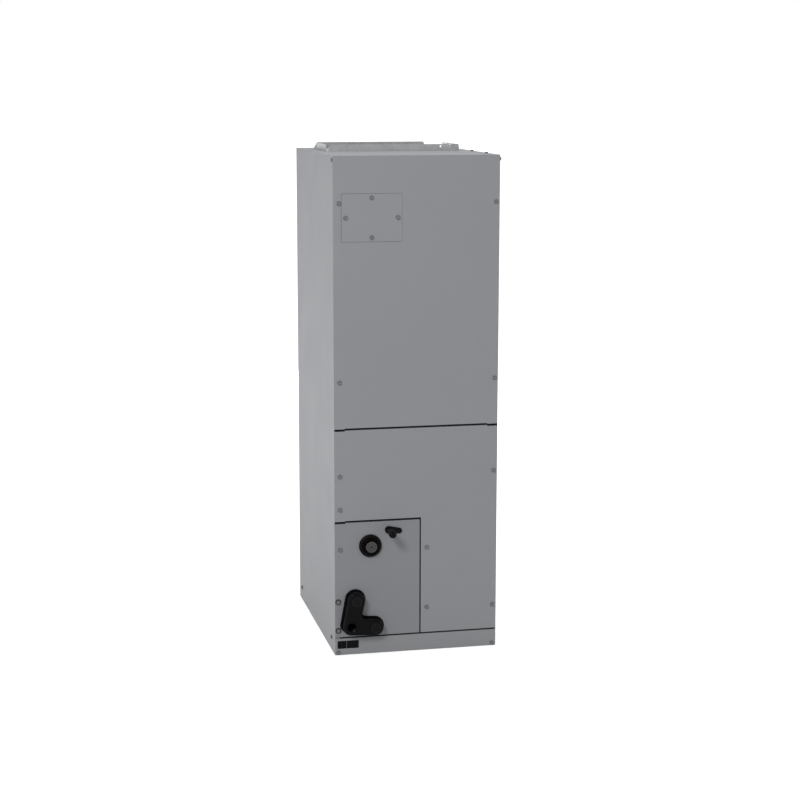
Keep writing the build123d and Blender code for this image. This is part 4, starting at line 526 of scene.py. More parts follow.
@dataclass(frozen=True)
class StudioSurface:
    """Pale floor: white to the camera, with the object's soft shadow kept near it."""

    name: str
    colour: Colour = (0.50, 0.50, 0.50)
    near_glow: float = 0.66
    far_glow: float = 1.0
    near: float = 0.45
    far: float = 1.5

    def build(self) -> Material:
        """Return the material."""
        shader = Shader(self.name)
        shader.set(Specular_IOR_Level=0.0, Roughness=1.0)
        shader.colour(shader.blend(shader.noise(1.2, 3.0), shade(self.colour, 0.985), self.colour))
        reach = shader.tree.nodes.new("ShaderNodeVectorMath")
        reach.operation = "LENGTH"
        shader.tree.links.new(shader.place, reach.inputs[0])
        glow_level = shader.ramp(reach.outputs["Value"], self.near_glow, self.far_glow, self.near, self.far)
        path = shader.tree.nodes.new("ShaderNodeLightPath").outputs
        seen = shader.maths("MAXIMUM", path["Is Camera Ray"], path["Is Glossy Ray"])
        either = shader.maths("MAXIMUM", seen, path["Is Transmission Ray"])
        glow = shader.node("ShaderNodeEmission", {"Strength": shader.maths("MULTIPLY", either, glow_level)})
        both = shader.tree.nodes.new("ShaderNodeAddShader")
        shader.tree.links.new(shader.surface.outputs[0], both.inputs[0])
        shader.tree.links.new(glow.outputs[0], both.inputs[1])
        out = shader.tree.nodes["Material Output"]
        shader.tree.links.new(both.outputs[0], out.inputs["Surface"])
        return shader.material


def smooth_shading(bm: Geometry, angle: float) -> None:
    """Shade faces smoothly and keep sharp the edges where they meet steeply.

    Args:
        bm: The faces.
        angle: Edges sharper than this many degrees stay sharp.
    """
    bmesh.ops.recalc_face_normals(bm, faces=bm.faces)
    limit = math.radians(angle)
    for face in bm.faces:
        face.smooth = True
    for edge in bm.edges:
        edge.smooth = len(edge.link_faces) == 2 and edge.calc_face_angle(0.0) < limit


def to_mesh(bm: Geometry, name: str) -> bpy.types.Mesh:
    """Turn edited geometry into a mesh and free it.

    Args:
        bm: The geometry.
        name: The mesh's name.

    Returns:
        The new mesh.
    """
    mesh = bpy.data.meshes.new(name)
    bm.to_mesh(mesh)
    bm.free()
    return mesh


def welded(node: str, reach: float = 2e-6) -> Geometry:
    """Return a copy of a CAD node's mesh with its faces joined up.

    Args:
        node: The CAD node.
        reach: Points closer than this become one, in metres.

    Returns:
        The copy, to edit or read.
    """
    bm = bmesh.new()
    bm.from_mesh(frame["nodes"][node].data)
    bmesh.ops.remove_doubles(bm, verts=bm.verts, dist=reach)
    return bm


def body_name(node: str) -> str:
    """Return the name of the body that a CAD node rides on."""
    return body_of(frame["nodes"][node])[0]


def linked(name: str, mesh: bpy.types.Mesh, finishes: Sequence[Material]) -> bpy.types.Object:
    """Put a mesh with its finishes into the scene.

    Args:
        name: The piece's name.
        mesh: Its mesh.
        finishes: Its materials, in the order of its faces' numbers.

    Returns:
        The new object.
    """
    piece = bpy.data.objects.new(name, mesh)
    bpy.context.scene.collection.objects.link(piece)
    mesh.materials.clear()
    for finish in finishes:
        mesh.materials.append(finish)
    return piece


def place_piece(name: str, mesh: bpy.types.Mesh, finishes: Sequence[Material],
                nodes: Sequence[str]) -> bpy.types.Object:
    """Put a mesh into the scene in place of CAD nodes.

    Args:
        name: The piece's name.
        mesh: Its mesh.
        finishes: Its materials, in the order of its faces' numbers.
        nodes: The CAD nodes that it stands for. It rides on the body of the first.

    Returns:
        The new object.
    """
    piece = linked(name, mesh, finishes)
    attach(piece, body_name(nodes[0]))
    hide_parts(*nodes)
    LOG.info("piece %s in place of %s, %d faces", name, ", ".join(nodes), len(mesh.polygons))
    return piece


def dress(node: str, finish: Material) -> None:
    """Give a carried-over CAD node its finish.

    Args:
        node: The CAD node.
        finish: Its material.
    """
    shape = frame["nodes"][node]
    for number in range(len(shape.material_slots)):
        shape.material_slots[number].material = finish
    LOG.info("dressed %s", node)


def rounded(piece: bpy.types.Object, width: float, segments: int, angle: float) -> None:
    """Round a piece's sharp edges and even out the shading of its flat faces.

    Args:
        piece: The piece.
        width: How wide each rounded edge is, in metres.
        segments: Faces across each rounded edge.
        angle: Edges sharper than this many degrees are rounded.
    """
    bevel = piece.modifiers.new("rounded", "BEVEL")
    bevel.width = width
    bevel.segments = segments
    bevel.limit_method = "ANGLE"
    bevel.angle_limit = math.radians(angle)
    bevel.use_clamp_overlap = True
    even = piece.modifiers.new("even_shading", "WEIGHTED_NORMAL")
    even.mode = "FACE_AREA"
    even.keep_sharp = True


def softened(node: str, finish: Material, width: float = 0.35 * MM, segments: int = 2,
             angle: float = 30.0, cut: Optional[Geometry] = None) -> None:
    """Replace a CAD node with a copy whose flat faces are whole and whose sharp edges are rounded.

    Args:
        node: The CAD node.
        finish: Its material.
        width: How wide each rounded edge is, in metres.
        segments: Faces across each rounded edge.
        angle: Edges sharper than this many degrees are rounded.
        cut: A solid to cut away first.
    """
    bm = welded(node)
    bmesh.ops.dissolve_limit(bm, angle_limit=math.radians(0.6), verts=bm.verts, edges=bm.edges)
    if cut is not None:
        bm = carved(bm, cut)
    smooth_shading(bm, angle)
    piece = place_piece(f"{node}_finished", to_mesh(bm, f"{node}_finished"), [finish], [node])
    rounded(piece, width, segments, angle)


def carved(bm: Geometry, cut: Geometry) -> Geometry:
    """Return a solid with another cut out of it. Both inputs are freed.

    Args:
        bm: The solid.
        cut: What is cut away.

    Returns:
        What is left.
    """
    bmesh.ops.recalc_face_normals(cut, faces=cut.faces)
    bmesh.ops.recalc_face_normals(bm, faces=bm.faces)
    pair = []
    for number, shape in enumerate((bm, cut)):
        holder = bpy.data.objects.new(f"carve_{number}", to_mesh(shape, f"carve_{number}"))
        bpy.context.scene.collection.objects.link(holder)
        pair.append(holder)
    solid, tool = pair
    carve = solid.modifiers.new("carve", "BOOLEAN")
    carve.operation = "DIFFERENCE"
    carve.solver = "EXACT"
    carve.object = tool
    result = bmesh.new()
    result.from_object(solid, bpy.context.evaluated_depsgraph_get())
    for holder in pair:
        mesh = holder.data
        bpy.data.objects.remove(holder)
        bpy.data.meshes.remove(mesh)
    return result


def islands(node: str) -> list[list[Vector]]:
    """Find the separate solids of a CAD node.

    Args:
        node: The CAD node.

    Returns:
        The corner points of each solid.
    """
    bm = welded(node, 1e-6)
    seen: set[int] = set()
    found = []
    bm.verts.ensure_lookup_table()
    for start in bm.verts:
        if start.index in seen:
            continue
        seen.add(start.index)
        stack, points = [start], []
        while stack:
            vert = stack.pop()
            points.append(vert.co.copy())
            for edge in vert.link_edges:
                other = edge.other_vert(vert)
                if other.index not in seen:
                    seen.add(other.index)
                    stack.append(other)
        found.append(points)
    bm.free()
    return found


def limits(points: Iterable[Vector]) -> tuple[Vector, Vector]:
    """Find the box round some points.

    Args:
        points: The points.

    Returns:
        Its lowest and its highest corner.
    """
    points = list(points)
    low = Vector([min(p[i] for p in points) for i in range(3)])
    high = Vector([max(p[i] for p in points) for i in range(3)])
    return low, high


def span(node: str) -> tuple[Vector, Vector]:
    """Return the lowest and highest corner of a CAD node."""
    low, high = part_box(node)
    return Vector(low), Vector(high)


def around(radius: float, turn: float, along: float = 0.0) -> Vector:
    """Return a point round the Z axis."""
    return Vector((radius * math.cos(turn), radius * math.sin(turn), along))


def in_mm(profile: Iterable[tuple[float, float]]) -> list[tuple[float, float]]:
    """Return a profile in metres from one in millimetres."""
    return [(radius * MM, along * MM) for radius, along in profile]


def hexagon(flats: float) -> Radius:
    """Return a hexagon's radius as a function of the turn.

    Args:
        flats: Its width across the flats.

    Returns:
        The function.
    """
    sector = math.pi / 3

    def radius(turn: float) -> float:
        """Return the radius at one turn."""
        return flats / 2 / math.cos((turn + sector / 2) % sector - sector / 2)

    return radius


def square(side: float, corner: float) -> Radius:
    """Return a square's radius as a function of the turn.

    Args:
        side: Its width.
        corner: How far its corners are cut back.

    Returns:
        The function.
    """

    def radius(turn: float) -> float:
        """Return the radius at one turn."""
        straight = side / 2 / max(abs(math.cos(turn)), abs(math.sin(turn)))
        return min(straight, side / 2 * math.sqrt(2.0) - corner)

    return radius


def fluted(radius: float, depth: float, count: int) -> Radius:
    """Return a scalloped radius as a function of the turn.

    Args:
        radius: The largest radius.
        depth: How deep the scallops are.
        count: How many there are.

    Returns:
        The function.
    """

    def at_turn(turn: float) -> float:
        """Return the radius at one turn."""
        return radius - depth * (0.5 + 0.5 * math.cos(count * turn)) ** 2

    return at_turn


class Maker:
    """Gathers the geometry of one piece, in metres."""

    def __init__(self) -> None:
        """Start with no geometry, under the first finish."""
        self.bm = bmesh.new()
        self.finish = 0

    def add(self, part: Geometry) -> None:
        """Take over a part under the finish in use, and free it.

        Args:
            part: The part.
        """
        for face in part.faces:
            face.material_index = self.finish
        self.join(part)

    def join(self, part: Geometry) -> None:
        """Take over a part with its faces' own finishes, and free it.

        Args:
            part: The part.
        """
        bmesh.ops.recalc_face_normals(part, faces=part.faces)
        mesh = to_mesh(part, "part")
        self.bm.from_mesh(mesh)
        bpy.data.meshes.remove(mesh)

    def block(self, low: Sequence[float], high: Sequence[float], soft: float = 0.3 * MM,
              place: Optional[Matrix] = None) -> None:
        """Add a block with rounded edges.

        Args:
            low: Its lowest corner.
            high: Its highest corner.
            soft: How wide its rounded edges are.
            place: Where its own axes lie, or None for the model's.
        """
        size = Vector(high) - Vector(low)
        middle = (Vector(high) + Vector(low)) / 2
        part = bmesh.new()
        shape = Matrix.Translation(middle) @ Matrix.Diagonal((size.x, size.y, size.z, 1.0))
        bmesh.ops.create_cube(part, size=1.0, matrix=(place or Matrix.Identity(4)) @ shape)
        width = min(soft, min(size) * 0.4)
        bmesh.ops.bevel(part, geom=part.edges[:], offset=width, segments=2, profile=0.5, affect="EDGES")
        self.add(part)

    def turned(self, profile: Profile, place: Matrix, sides: int = 40, hollow: bool = False) -> None:
        """Add a turned part.

        Args:
            profile: Pairs of radius and distance along the axis. A radius may depend on the turn.
            place: Where the axis lies, along Z.
            sides: Faces round it.
            hollow: Whether the profile closes on itself and leaves the axis free.
        """
        self.add(lathe(profile, place, sides, hollow)[0])

    def bead(self, points: Sequence[Vector], radius: float, sides: int = 8, closed: bool = False) -> None:
        """Add a round bead, wire or rod along points.

        Args:
            points: What it follows.
            radius: Its radius.
            sides: Faces round it.
            closed: Whether it runs on from its end to its start.
        """
        part = bmesh.new()
        count = len(points)
        side = None
        rings = []
        for i, point in enumerate(points):
            after = points[(i + 1) % count] if closed or i + 1 < count else point
            before = points[i - 1] if closed or i else point
            along = (after - before).normalized()
            if side is None:
                side = along.orthogonal()
            side = (side - along * side.dot(along)).normalized()
            other = along.cross(side)
            ring = []
            for k in range(sides):
                turn = FULL_TURN * k / sides
                reach = (side * math.cos(turn) + other * math.sin(turn)) * radius
                ring.append(part.verts.new(point + reach))
            rings.append(ring)
        pairs = list(zip(rings, rings[1:])) + ([(rings[-1], rings[0])] if closed else [])
        bridge(part, pairs)
        if not closed:
            part.faces.new(rings[0])
            part.faces.new(rings[-1])
        self.add(part)

    def mesh(self, name: str, angle: float) -> bpy.types.Mesh:
        """Return the finished mesh, smooth where its faces meet at less than an angle in degrees."""
        smooth_shading(self.bm, angle)
        return to_mesh(self.bm, name)

    def replace(self, name: str, finishes: Sequence[Material], nodes: Sequence[str],
                angle: float = SMOOTH_ANGLE) -> None:
        """Finish the piece and put it in place of CAD nodes.

        Args:
            name: The piece's name.
            finishes: Its materials, in the order of its faces' numbers.
            nodes: The CAD nodes that it stands for.
            angle: Edges sharper than this many degrees stay sharp.
        """
        place_piece(name, self.mesh(name, angle), finishes, nodes)

    def trim(self, name: str, finish: Material, body: str,
             angle: float = SMOOTH_ANGLE) -> None:
        """Finish the piece and add it to a body.

        Args:
            name: The piece's name.
            finish: Its material.
            body: The body that it rides on.
            angle: Edges sharper than this many degrees stay sharp.
        """
        piece = linked(name, self.mesh(name, angle), [finish])
        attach(piece, body)
        LOG.info("trim %s on %s, %d faces", name, body, len(piece.data.polygons))


def bridge(part: Geometry, pairs: Iterable[tuple[list, list]]) -> list[list[bmesh.types.BMFace]]:
    """Join pairs of rings with faces.

    Args:
        part: The part that holds the rings.
        pairs: Rings with the same number of points.

    Returns:
        The faces of each pair, in order round the ring.
    """
    rows = []
    for low, high in pairs:
        row = []
        for i in range(len(low)):
            j = (i + 1) % len(low)
            row.append(part.faces.new((low[i], low[j], high[j], high[i])))
        rows.append(row)
    return rows


def lathe(profile: Profile, place: Matrix, sides: int,
          hollow: bool = False) -> tuple[Geometry, list[list[bmesh.types.BMFace]]]:
    """Turn a profile about an axis.

    Args:
        profile: Pairs of radius and distance along the axis. A radius may depend on the turn.
        place: Where the axis lies, along Z.
        sides: Faces round it.
        hollow: Whether the profile closes on itself and leaves the axis free.

    Returns:
        The part, and its faces row by row.
    """
    part = bmesh.new()
    rings = []
    for radius, along in profile:
        ring = []
        for i in range(sides):
            turn = FULL_TURN * i / sides
            reach = radius(turn) if callable(radius) else radius
            ring.append(part.verts.new(place @ around(reach, turn, along)))
        rings.append(ring)
    pairs = list(zip(rings, rings[1:])) + ([(rings[-1], rings[0])] if hollow else [])
    rows = bridge(part, pairs)
    if not hollow:
        part.faces.new(rings[0])
        part.faces.new(rings[-1])
    return part, rows


class Palette:
    """Every finish of the object, built once."""

    def __init__(self) -> None:
        """Build the materials."""
        grey = (0.262, 0.268, 0.283)
        self.casing = PowderCoat("casing_coat", grey).build()
        self.panel = PowderCoat("panel_coat", grey).build()
        # The fitting panel's coat is the panel grey made 12% darker: painted shade, as the lower front lies
        # in shade.
        self.fitting_panel = PowderCoat("fitting_panel_coat_painted_shade", shade(grey, 0.88)).build()
        self.galvanised = Galvanised("galvanised_sheet", (0.50, 0.51, 0.52)).build()
        self.duct = Galvanised("duct_flange_zinc", (0.41, 0.415, 0.42), spangle=150.0, contrast=0.07).build()
        # Two copies of one zinc: the darker one on screw washers, shanks and motor nuts is painted shade, and
        # the lighter one on the hexagon heads is painted light.
        self.screw = PlatedSteel("screw_zinc", (0.16, 0.16, 0.165), 0.42, metallic=0.7).build()
        self.screw_top = PlatedSteel("screw_top_zinc_painted_light", (0.36, 0.36, 0.37), 0.38, metallic=0.7).build()
        self.liner = FacedMat("insulation_face").build()
        # Black foam for the seams: real sealing foam that also stands in for the shade inside them. It also
        # serves the black strips of painted shadow along the panel edges.
        self.foam = Rubber("seam_foam_painted_shade", (0.006, 0.006, 0.007), 0.85, 1300.0, gloss=0.03).build()
        self.grommet = Rubber("grommet_rubber", (0.003, 0.003, 0.0035), 0.32, gloss=0.05).build()
        self.washer = Rubber("washer_rubber", (0.005, 0.005, 0.006), 0.5, gloss=0.08).build()
        # This also serves the black rim round the breaker cover plate, which is painted shadow.
        self.gasket = Rubber("gasket_foam", (0.006, 0.006, 0.007), 0.8, 1100.0, gloss=0.04).build()
        self.plug = Rubber("suction_plug_rubber", (0.055, 0.055, 0.057), 0.5, gloss=0.2).build()
        self.cap = MouldedPlastic("cap_plastic", (0.003, 0.003, 0.0035), 0.24, gloss=0.05).build()
        self.drain = MouldedPlastic("drain_plastic", (0.003, 0.003, 0.0035), 0.24, gloss=0.055).build()
        self.drain_plug = MouldedPlastic("drain_plug_plastic", (0.004, 0.004, 0.0045), 0.22,
                                         gloss=0.09).build()
        self.pan = MouldedPlastic("pan_plastic", (0.02, 0.02, 0.022), 0.5, 700.0, gloss=0.3).build()
        self.blank = MouldedPlastic("blank_plate_plastic", (0.004, 0.004, 0.005), 0.3, gloss=0.05).build()
        self.card = PressedCard("filter_card").build()
        self.media = PressedCard("filter_media", (0.60, 0.63, 0.66), weave=1600.0).build()
        self.fins = FinnedAluminium("coil_fins").build()
        self.copper = Copper("coil_copper").build()
        self.pipe = Copper("pipe_copper", (0.66, 0.31, 0.18)).build()
        self.brass = PlatedSteel("machined_brass", (0.62, 0.44, 0.18), 0.26, metallic=1.0).build()
        paint = (0.020, 0.020, 0.022)
        self.motor = PowderCoat("motor_paint", paint, 0.34, gloss=0.4, dust=paint).build()
        # The vent slots' floors are near-black: painted shade standing for the dark inside of the motor.
        self.vent = MouldedPlastic("motor_vent_painted_shade", (0.004, 0.004, 0.004), 0.7, 900.0, gloss=0.05).build()
        self.shaft = PlatedSteel("ground_steel", (0.50, 0.50, 0.50), 0.25, metallic=1.0).build()
        self.terminal = MouldedPlastic("terminal_plastic", (0.02, 0.02, 0.021), 0.4, gloss=0.4).build()
        self.terminal_metal = PlatedSteel("terminal_plating", (0.60, 0.54, 0.36), 0.3, metallic=1.0).build()
        self.laminations = Laminations("transformer_core").build()
        self.winding = MouldedPlastic("winding_tape", (0.42, 0.30, 0.06), 0.42, 300.0, gloss=0.4).build()
        self.board = SolderMask("solder_mask").build()
        self.chip = MouldedPlastic("chip_plastic", (0.015, 0.015, 0.016), 0.5, 2000.0, gloss=0.3).build()
        self.pale = MouldedPlastic("pale_plastic", (0.62, 0.60, 0.52), 0.4, 1200.0, gloss=0.4).build()
        self.blue = MouldedPlastic("blue_plastic", (0.02, 0.10, 0.34), 0.35, 1200.0, gloss=0.4).build()
        self.red = MouldedPlastic("red_plastic", (0.42, 0.02, 0.02), 0.3, 1200.0, gloss=0.4).build()
        self.can = PlatedSteel("capacitor_can", (0.58, 0.58, 0.59), 0.32, metallic=1.0).build()
        self.relay = MouldedPlastic("relay_plastic", (0.03, 0.03, 0.032), 0.35, gloss=0.4).build()
        self.sleeve = BraidedSleeve("harness_sleeve").build()
        self.floor = StudioSurface("studio_floor").build()


@dataclass
class Screws:
    """Hex washer head screws, built where the CAD screws are."""

    palette: Palette
    washer: float = 5.6 * MM
    rise: float = 1.0 * MM
    flats: float = 8.0 * MM
    height: float = 3.6 * MM
    shank: float = 2.1 * MM
    length: float = 9.0 * MM
    pitch: float = 1.4 * MM
    washer_rows: int = 6
    middle: Point = (0.0, 0.0, 0.63)

    def seats(self, node: str) -> list[tuple[Vector, Facing]]:
        """Find where a node's screws sit.

        Args:
            node: The CAD node that holds them.

        Returns:
            The seat point and the facing of each screw.
        """
        found = []
        for points in islands(node):
            low, high = limits(points)
            size = high - low
            axis = max(range(3), key=lambda i: size[i])
            centre = (low + high) / 2
            sign = 1.0 if centre[axis] > self.middle[axis] else -1.0
            out = Vector([sign if i == axis else 0.0 for i in range(3)])
            seat = centre.copy()
            seat[axis] = high[axis] - self.height if sign > 0 else low[axis] + self.height
            found.append((seat, Facing.nearest(out)))
        return found

    def head(self, maker: Maker, place: Matrix) -> None:
        """Add one head: a washer with a turned-up rim, a hexagon and its dished top.

        Args:
            maker: The piece that takes it.
            place: The seat, with Z outwards.
        """
        flat = hexagon(self.flats)
        part, rows = lathe([
            (self.washer - 0.3 * MM, 0.0), (self.washer, 0.15 * MM), (self.washer, 0.7 * MM),
            (self.washer - 0.15 * MM, 0.85 * MM), (self.washer - 0.45 * MM, 0.6 * MM),
            (self.flats / 2 + 0.35 * MM, 0.75 * MM), (flat, self.rise + 0.1 * MM),
            (flat, self.height - 0.5 * MM), (self.flats / 2 * 1.01, self.height - 0.15 * MM),
            (self.flats / 2 - 0.3 * MM, self.height), (self.flats / 2 - 0.9 * MM, self.height),
            (self.flats / 2 - 1.5 * MM, self.height - 0.35 * MM), (0.2 * MM, self.height - 0.45 * MM),
        ], place, 36)
        # The hexagon and its top take the lighter zinc copy and the washer takes the darker one: painted
        # light and painted shade on one metal.
        for row in rows[self.washer_rows:]:
            for face in row:
                face.material_index = 1
        part.faces.ensure_lookup_table()
        part.faces[-1].material_index = 1
        maker.join(part)

    def build(self, node: str, turn: float) -> None:
        """Replace one node's screws.

        Args:
            node: The CAD node that holds them.
            turn: How far each next screw is turned about its axis, in radians.
        """
        maker = Maker()
        for index, (seat, facing) in enumerate(self.seats(node)):
            place = facing.at(seat, turn * (index + 1))
            self.head(maker, place)
            maker.add(threaded(place, self.shank, self.pitch, self.length))
        maker.replace(f"{node}_hex", [self.palette.screw, self.palette.screw_top], [node], 28.0)

    def build_all(self) -> None:
        """Replace every screw node."""
        names = ("casing_screws", "blower_panel_screws", "cover_plate_screws", "coil_panel_screws",
                 "fitting_panel_screws", "filter_door_screws")
        for number, node in enumerate(names):
            self.build(node, 0.7 + 0.37 * number)


def threaded(place: Matrix, crest: float, pitch: float, length: float, sides: int = 14,
             sleeve: Optional[float] = None) -> Geometry:
    """Make a threaded shank, or a threaded sleeve for a hole.

    Args:
        place: Its start, with the thread running towards -Z.
        crest: The crests' radius, the largest of a shank and the smallest of a sleeve.
        pitch: Distance between turns.
        length: How far the thread runs.
        sides: Points round it.
        sleeve: The sleeve's outer radius, or None for a shank.

    Returns:
        The threaded part.
    """
    part = bmesh.new()
    rows = int(length / pitch * 5) + 1
    deep = 0.32 * pitch if sleeve is None else -0.55 * pitch
    rings = []
    for r in range(rows + 1):
        depth = length * r / rows
        ring = []
        for i in range(sides):
            crossing = (depth / pitch + i / sides) % 1.0
            root = min(1.0, abs(crossing - 0.5) * 3.0)
            taper = min(1.0, (length - depth) / (1.6 * pitch) + 0.25) if sleeve is None else 1.0
            radius = (crest - deep * root) * taper
            ring.append(part.verts.new(place @ around(radius, FULL_TURN * i / sides, -depth)))
        rings.append(ring)
    if sleeve is not None:
        for depth in (length, 0.0):
            rings.append([part.verts.new(place @ around(sleeve, FULL_TURN * i / sides, -depth))
                          for i in range(sides)])
        bridge(part, list(zip(rings, rings[1:])) + [(rings[-1], rings[0])])
        return part
    bridge(part, zip(rings, rings[1:]))
    part.faces.new(rings[0])
    part.faces.new(rings[-1])
    return part


@dataclass(frozen=True)
class Seams:
    """Where the seams between the front panels run."""

    split: float = 0.583
    fitting_top: float = 0.347
    door_top: float = 0.046
    post: float = 0.0105
    step_at: float = 0.183
    step_down: float = 2.0 * MM
    half: float = 1.5 * MM


@dataclass
class Casing:
    """Painted and galvanised sheet metal, the insulation, the duct flanges and the black foam in the seams,
    which also stands in for the shade inside them.
    """

    palette: Palette
    seams: Seams = Seams()
    foam_end: float = 0.2092
    foam_half: float = 1.42 * MM
    foam_front: float = -0.2796
    foam_back: float = -0.2681

    def foam(self) -> None:
        """Add the black foam strips on the rails, which fill the seams between the panels up to their faces:
        real sealing foam, and also painted shade where the seams fall dark.
        """
        maker = Maker()
        at, end, half, soft = self.seams, self.foam_end, self.foam_half, 0.2 * MM
        low_split, low_top = at.split - at.step_down, at.fitting_top - at.step_down
        runs = (
            (-end, -at.step_at, low_split), (-at.step_at, at.step_at, at.split), (at.step_at, end, low_split),
            (-end, -at.step_at, low_top), (-at.step_at, at.post, at.fitting_top), (-end, end, at.door_top),
        )
        for left, right, height in runs:
            maker.block((left, self.foam_front, height - half), (right, self.foam_back, height + half), soft)
        maker.block((at.post - half, self.foam_front, at.door_top + half),
                    (at.post + half, self.foam_back, at.fitting_top - half), soft)
        maker.trim("seam_foam_painted_shade", self.palette.foam, "casing")

    def build(self) -> None:
        """Round the sheet's edges, dress it and fill the seams with foam."""
        for node in ("left_side_panel", "right_side_panel", "back_panel", "top_panel"):
            softened(node, self.palette.casing, 0.45 * MM)
        for node in ("base_pan", "front_rails", "filter_runners", "coil_shelves"):
            softened(node, self.palette.galvanised, 0.3 * MM)
        softened("duct_flanges", self.palette.duct, 0.3 * MM)
        softened("wall_liners", self.palette.liner, 1.5 * MM, 3)
        self.foam()


@dataclass
class FrontPanels:
    """The removable front panels with what is fixed to them."""

    palette: Palette
    seams: Seams = Seams()
    washer: float = 7.4 * MM
    washer_thick: float = 1.6 * MM
    hole: float = 2.3 * MM
    rim: float = 1.3 * MM
    face: float = -0.28
    lip: float = 0.9 * MM
    end_lip: float = 1.2 * MM
    door_lip: float = 0.7 * MM
    lip_end: float = 0.2095
    lip_thick: float = 0.25 * MM
    lip_corner: float = 0.012
    post_side: tuple[float, float] = (0.0086, 0.009)
    post_foot: float = 0.0475
    shadow_rim_proud: float = 0.4 * MM
    shadow_rim_thick: float = 0.3 * MM

    def washers(self) -> None:
        """Replace the sealing washers with domed rings."""
        maker = Maker()
        r, t = self.washer, self.washer_thick
        profile = [(self.hole, 0.0), (r - 0.3 * MM, 0.0), (r, 0.25 * t), (r, 0.6 * t),
                   (r - 0.4 * MM, 0.9 * t), (r - 1.1 * MM, t), (self.hole, t)]
        for points in islands("sealing_washers"):
            low, high = limits(points)
            centre = (low + high) / 2
            maker.turned(profile, Facing.FRONT.at((centre.x, high.y, centre.z)), 40, hollow=True)
        maker.replace("sealing_washer_rings", [self.palette.washer], ["sealing_washers"])

    def blanks(self) -> None:
        """Replace the two bare plates with plates that have a raised border."""
        maker = Maker()
        for points in islands("blank_plates"):
            low, high = limits(points)
            floor = low.y + 0.25 * MM
            maker.block((low.x, floor, low.z), high, 0.12 * MM)
            for x in ((low.x, low.x + self.rim), (high.x - self.rim, high.x)):
                maker.block((x[0], low.y, low.z), (x[1], floor + 0.1 * MM, high.z), 0.12 * MM)
            for z in ((low.z, low.z + self.rim), (high.z - self.rim, high.z)):
                maker.block((low.x, low.y, z[0]), (high.x, floor + 0.1 * MM, z[1]), 0.12 * MM)
        maker.replace("blank_plate_pair", [self.palette.blank], ["blank_plates"])

    def painted_shadow_lip(self, name: str, body: str, runs: Sequence[tuple[float, float, float, float]]) -> None:
        """Add a thin black strip along a panel's edge at a seam: painted shadow that widens the dark seam
        line.

        Args:
            name: The piece's name.
            body: The panel's body.
            runs: The left end, right end, lowest and highest height of each straight part.
        """
        maker = Maker()
        for left, right, low, high in runs:
            maker.block((left, self.face - self.lip_thick, low), (right, self.face, high), 0.1 * MM)
        maker.trim(name, self.palette.foam, body)

    def painted_shadow_lips(self) -> None:
        """Add the black strips of painted shadow at the split, round the fitting panel and on the filter
        door.
        """
        at, end, lip, end_lip = self.seams, self.lip_end, self.lip, self.end_lip
        half, down, step, split, top = at.half, at.step_down, at.step_at, at.split, at.fitting_top
        above = [(-end, -step, split - down + half, split - down + half + end_lip),
                 (-step, step, split + half, split + half + lip),
                 (step, end, split - down + half, split - down + half + end_lip)]
        below = [(-end, -step, split - down - half - end_lip, split - down - half),
                 (-step, step, split - half - lip, split - half),
                 (step, end, split - down - half - end_lip, split - down - half),
                 (-end, -step, top - down + half, top - down + half + end_lip),
                 (-step, self.lip_corner, top + half, top + half + lip)]
        fitting = [(-end, -step, top - down - half - end_lip, top - down - half),
                   (-step, self.post_side[1], top - half - lip, top - half),
                   (*self.post_side, self.post_foot, top - half)]
        self.painted_shadow_lip("blower_panel_shadow_lip", "blower_cover", above)
        self.painted_shadow_lip("coil_panel_shadow_lip", "coil_cover", below)
        self.painted_shadow_lip("fitting_panel_shadow_lip", "fitting_cover", fitting)
        door = at.door_top - half
        self.painted_shadow_lip("filter_door_shadow_lip", "door", [(-end, end, door - self.door_lip, door)])

    def plate_shadow_rim(self) -> None:
        """Add a thin black rim just beyond the breaker cover plate's edges: painted shadow, which shows as a
        dark line round it.
        """
        low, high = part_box("breaker_cover_plate")
        out, back, soft = self.shadow_rim_proud, self.face, 0.08 * MM
        front = back - self.shadow_rim_thick
        maker = Maker()
        for x in ((low[0] - out, low[0]), (high[0], high[0] + out)):
            maker.block((x[0], front, low[2] - out), (x[1], back, high[2] + out), soft)
        for z in ((low[2] - out, low[2]), (high[2], high[2] + out)):
            maker.block((low[0], front, z[0]), (high[0], back, z[1]), soft)
        maker.trim("cover_plate_shadow_rim", self.palette.gasket, "cover_plate")

    def build(self) -> None:
        """Round and dress the panels and their insulation, and build the small pieces."""
        for node in ("blower_panel", "breaker_cover_plate", "coil_panel", "filter_door"):
            softened(node, self.palette.panel, 0.4 * MM)
        # The fitting panel takes the darker coat, which is painted shade.
        softened("fitting_panel", self.palette.fitting_panel, 0.4 * MM)
        for node in ("blower_panel_liner", "coil_panel_liner"):
            softened(node, self.palette.liner, 1.5 * MM, 3)
        self.painted_shadow_lips()
        self.plate_shadow_rim()
        self.washers()
        self.blanks()


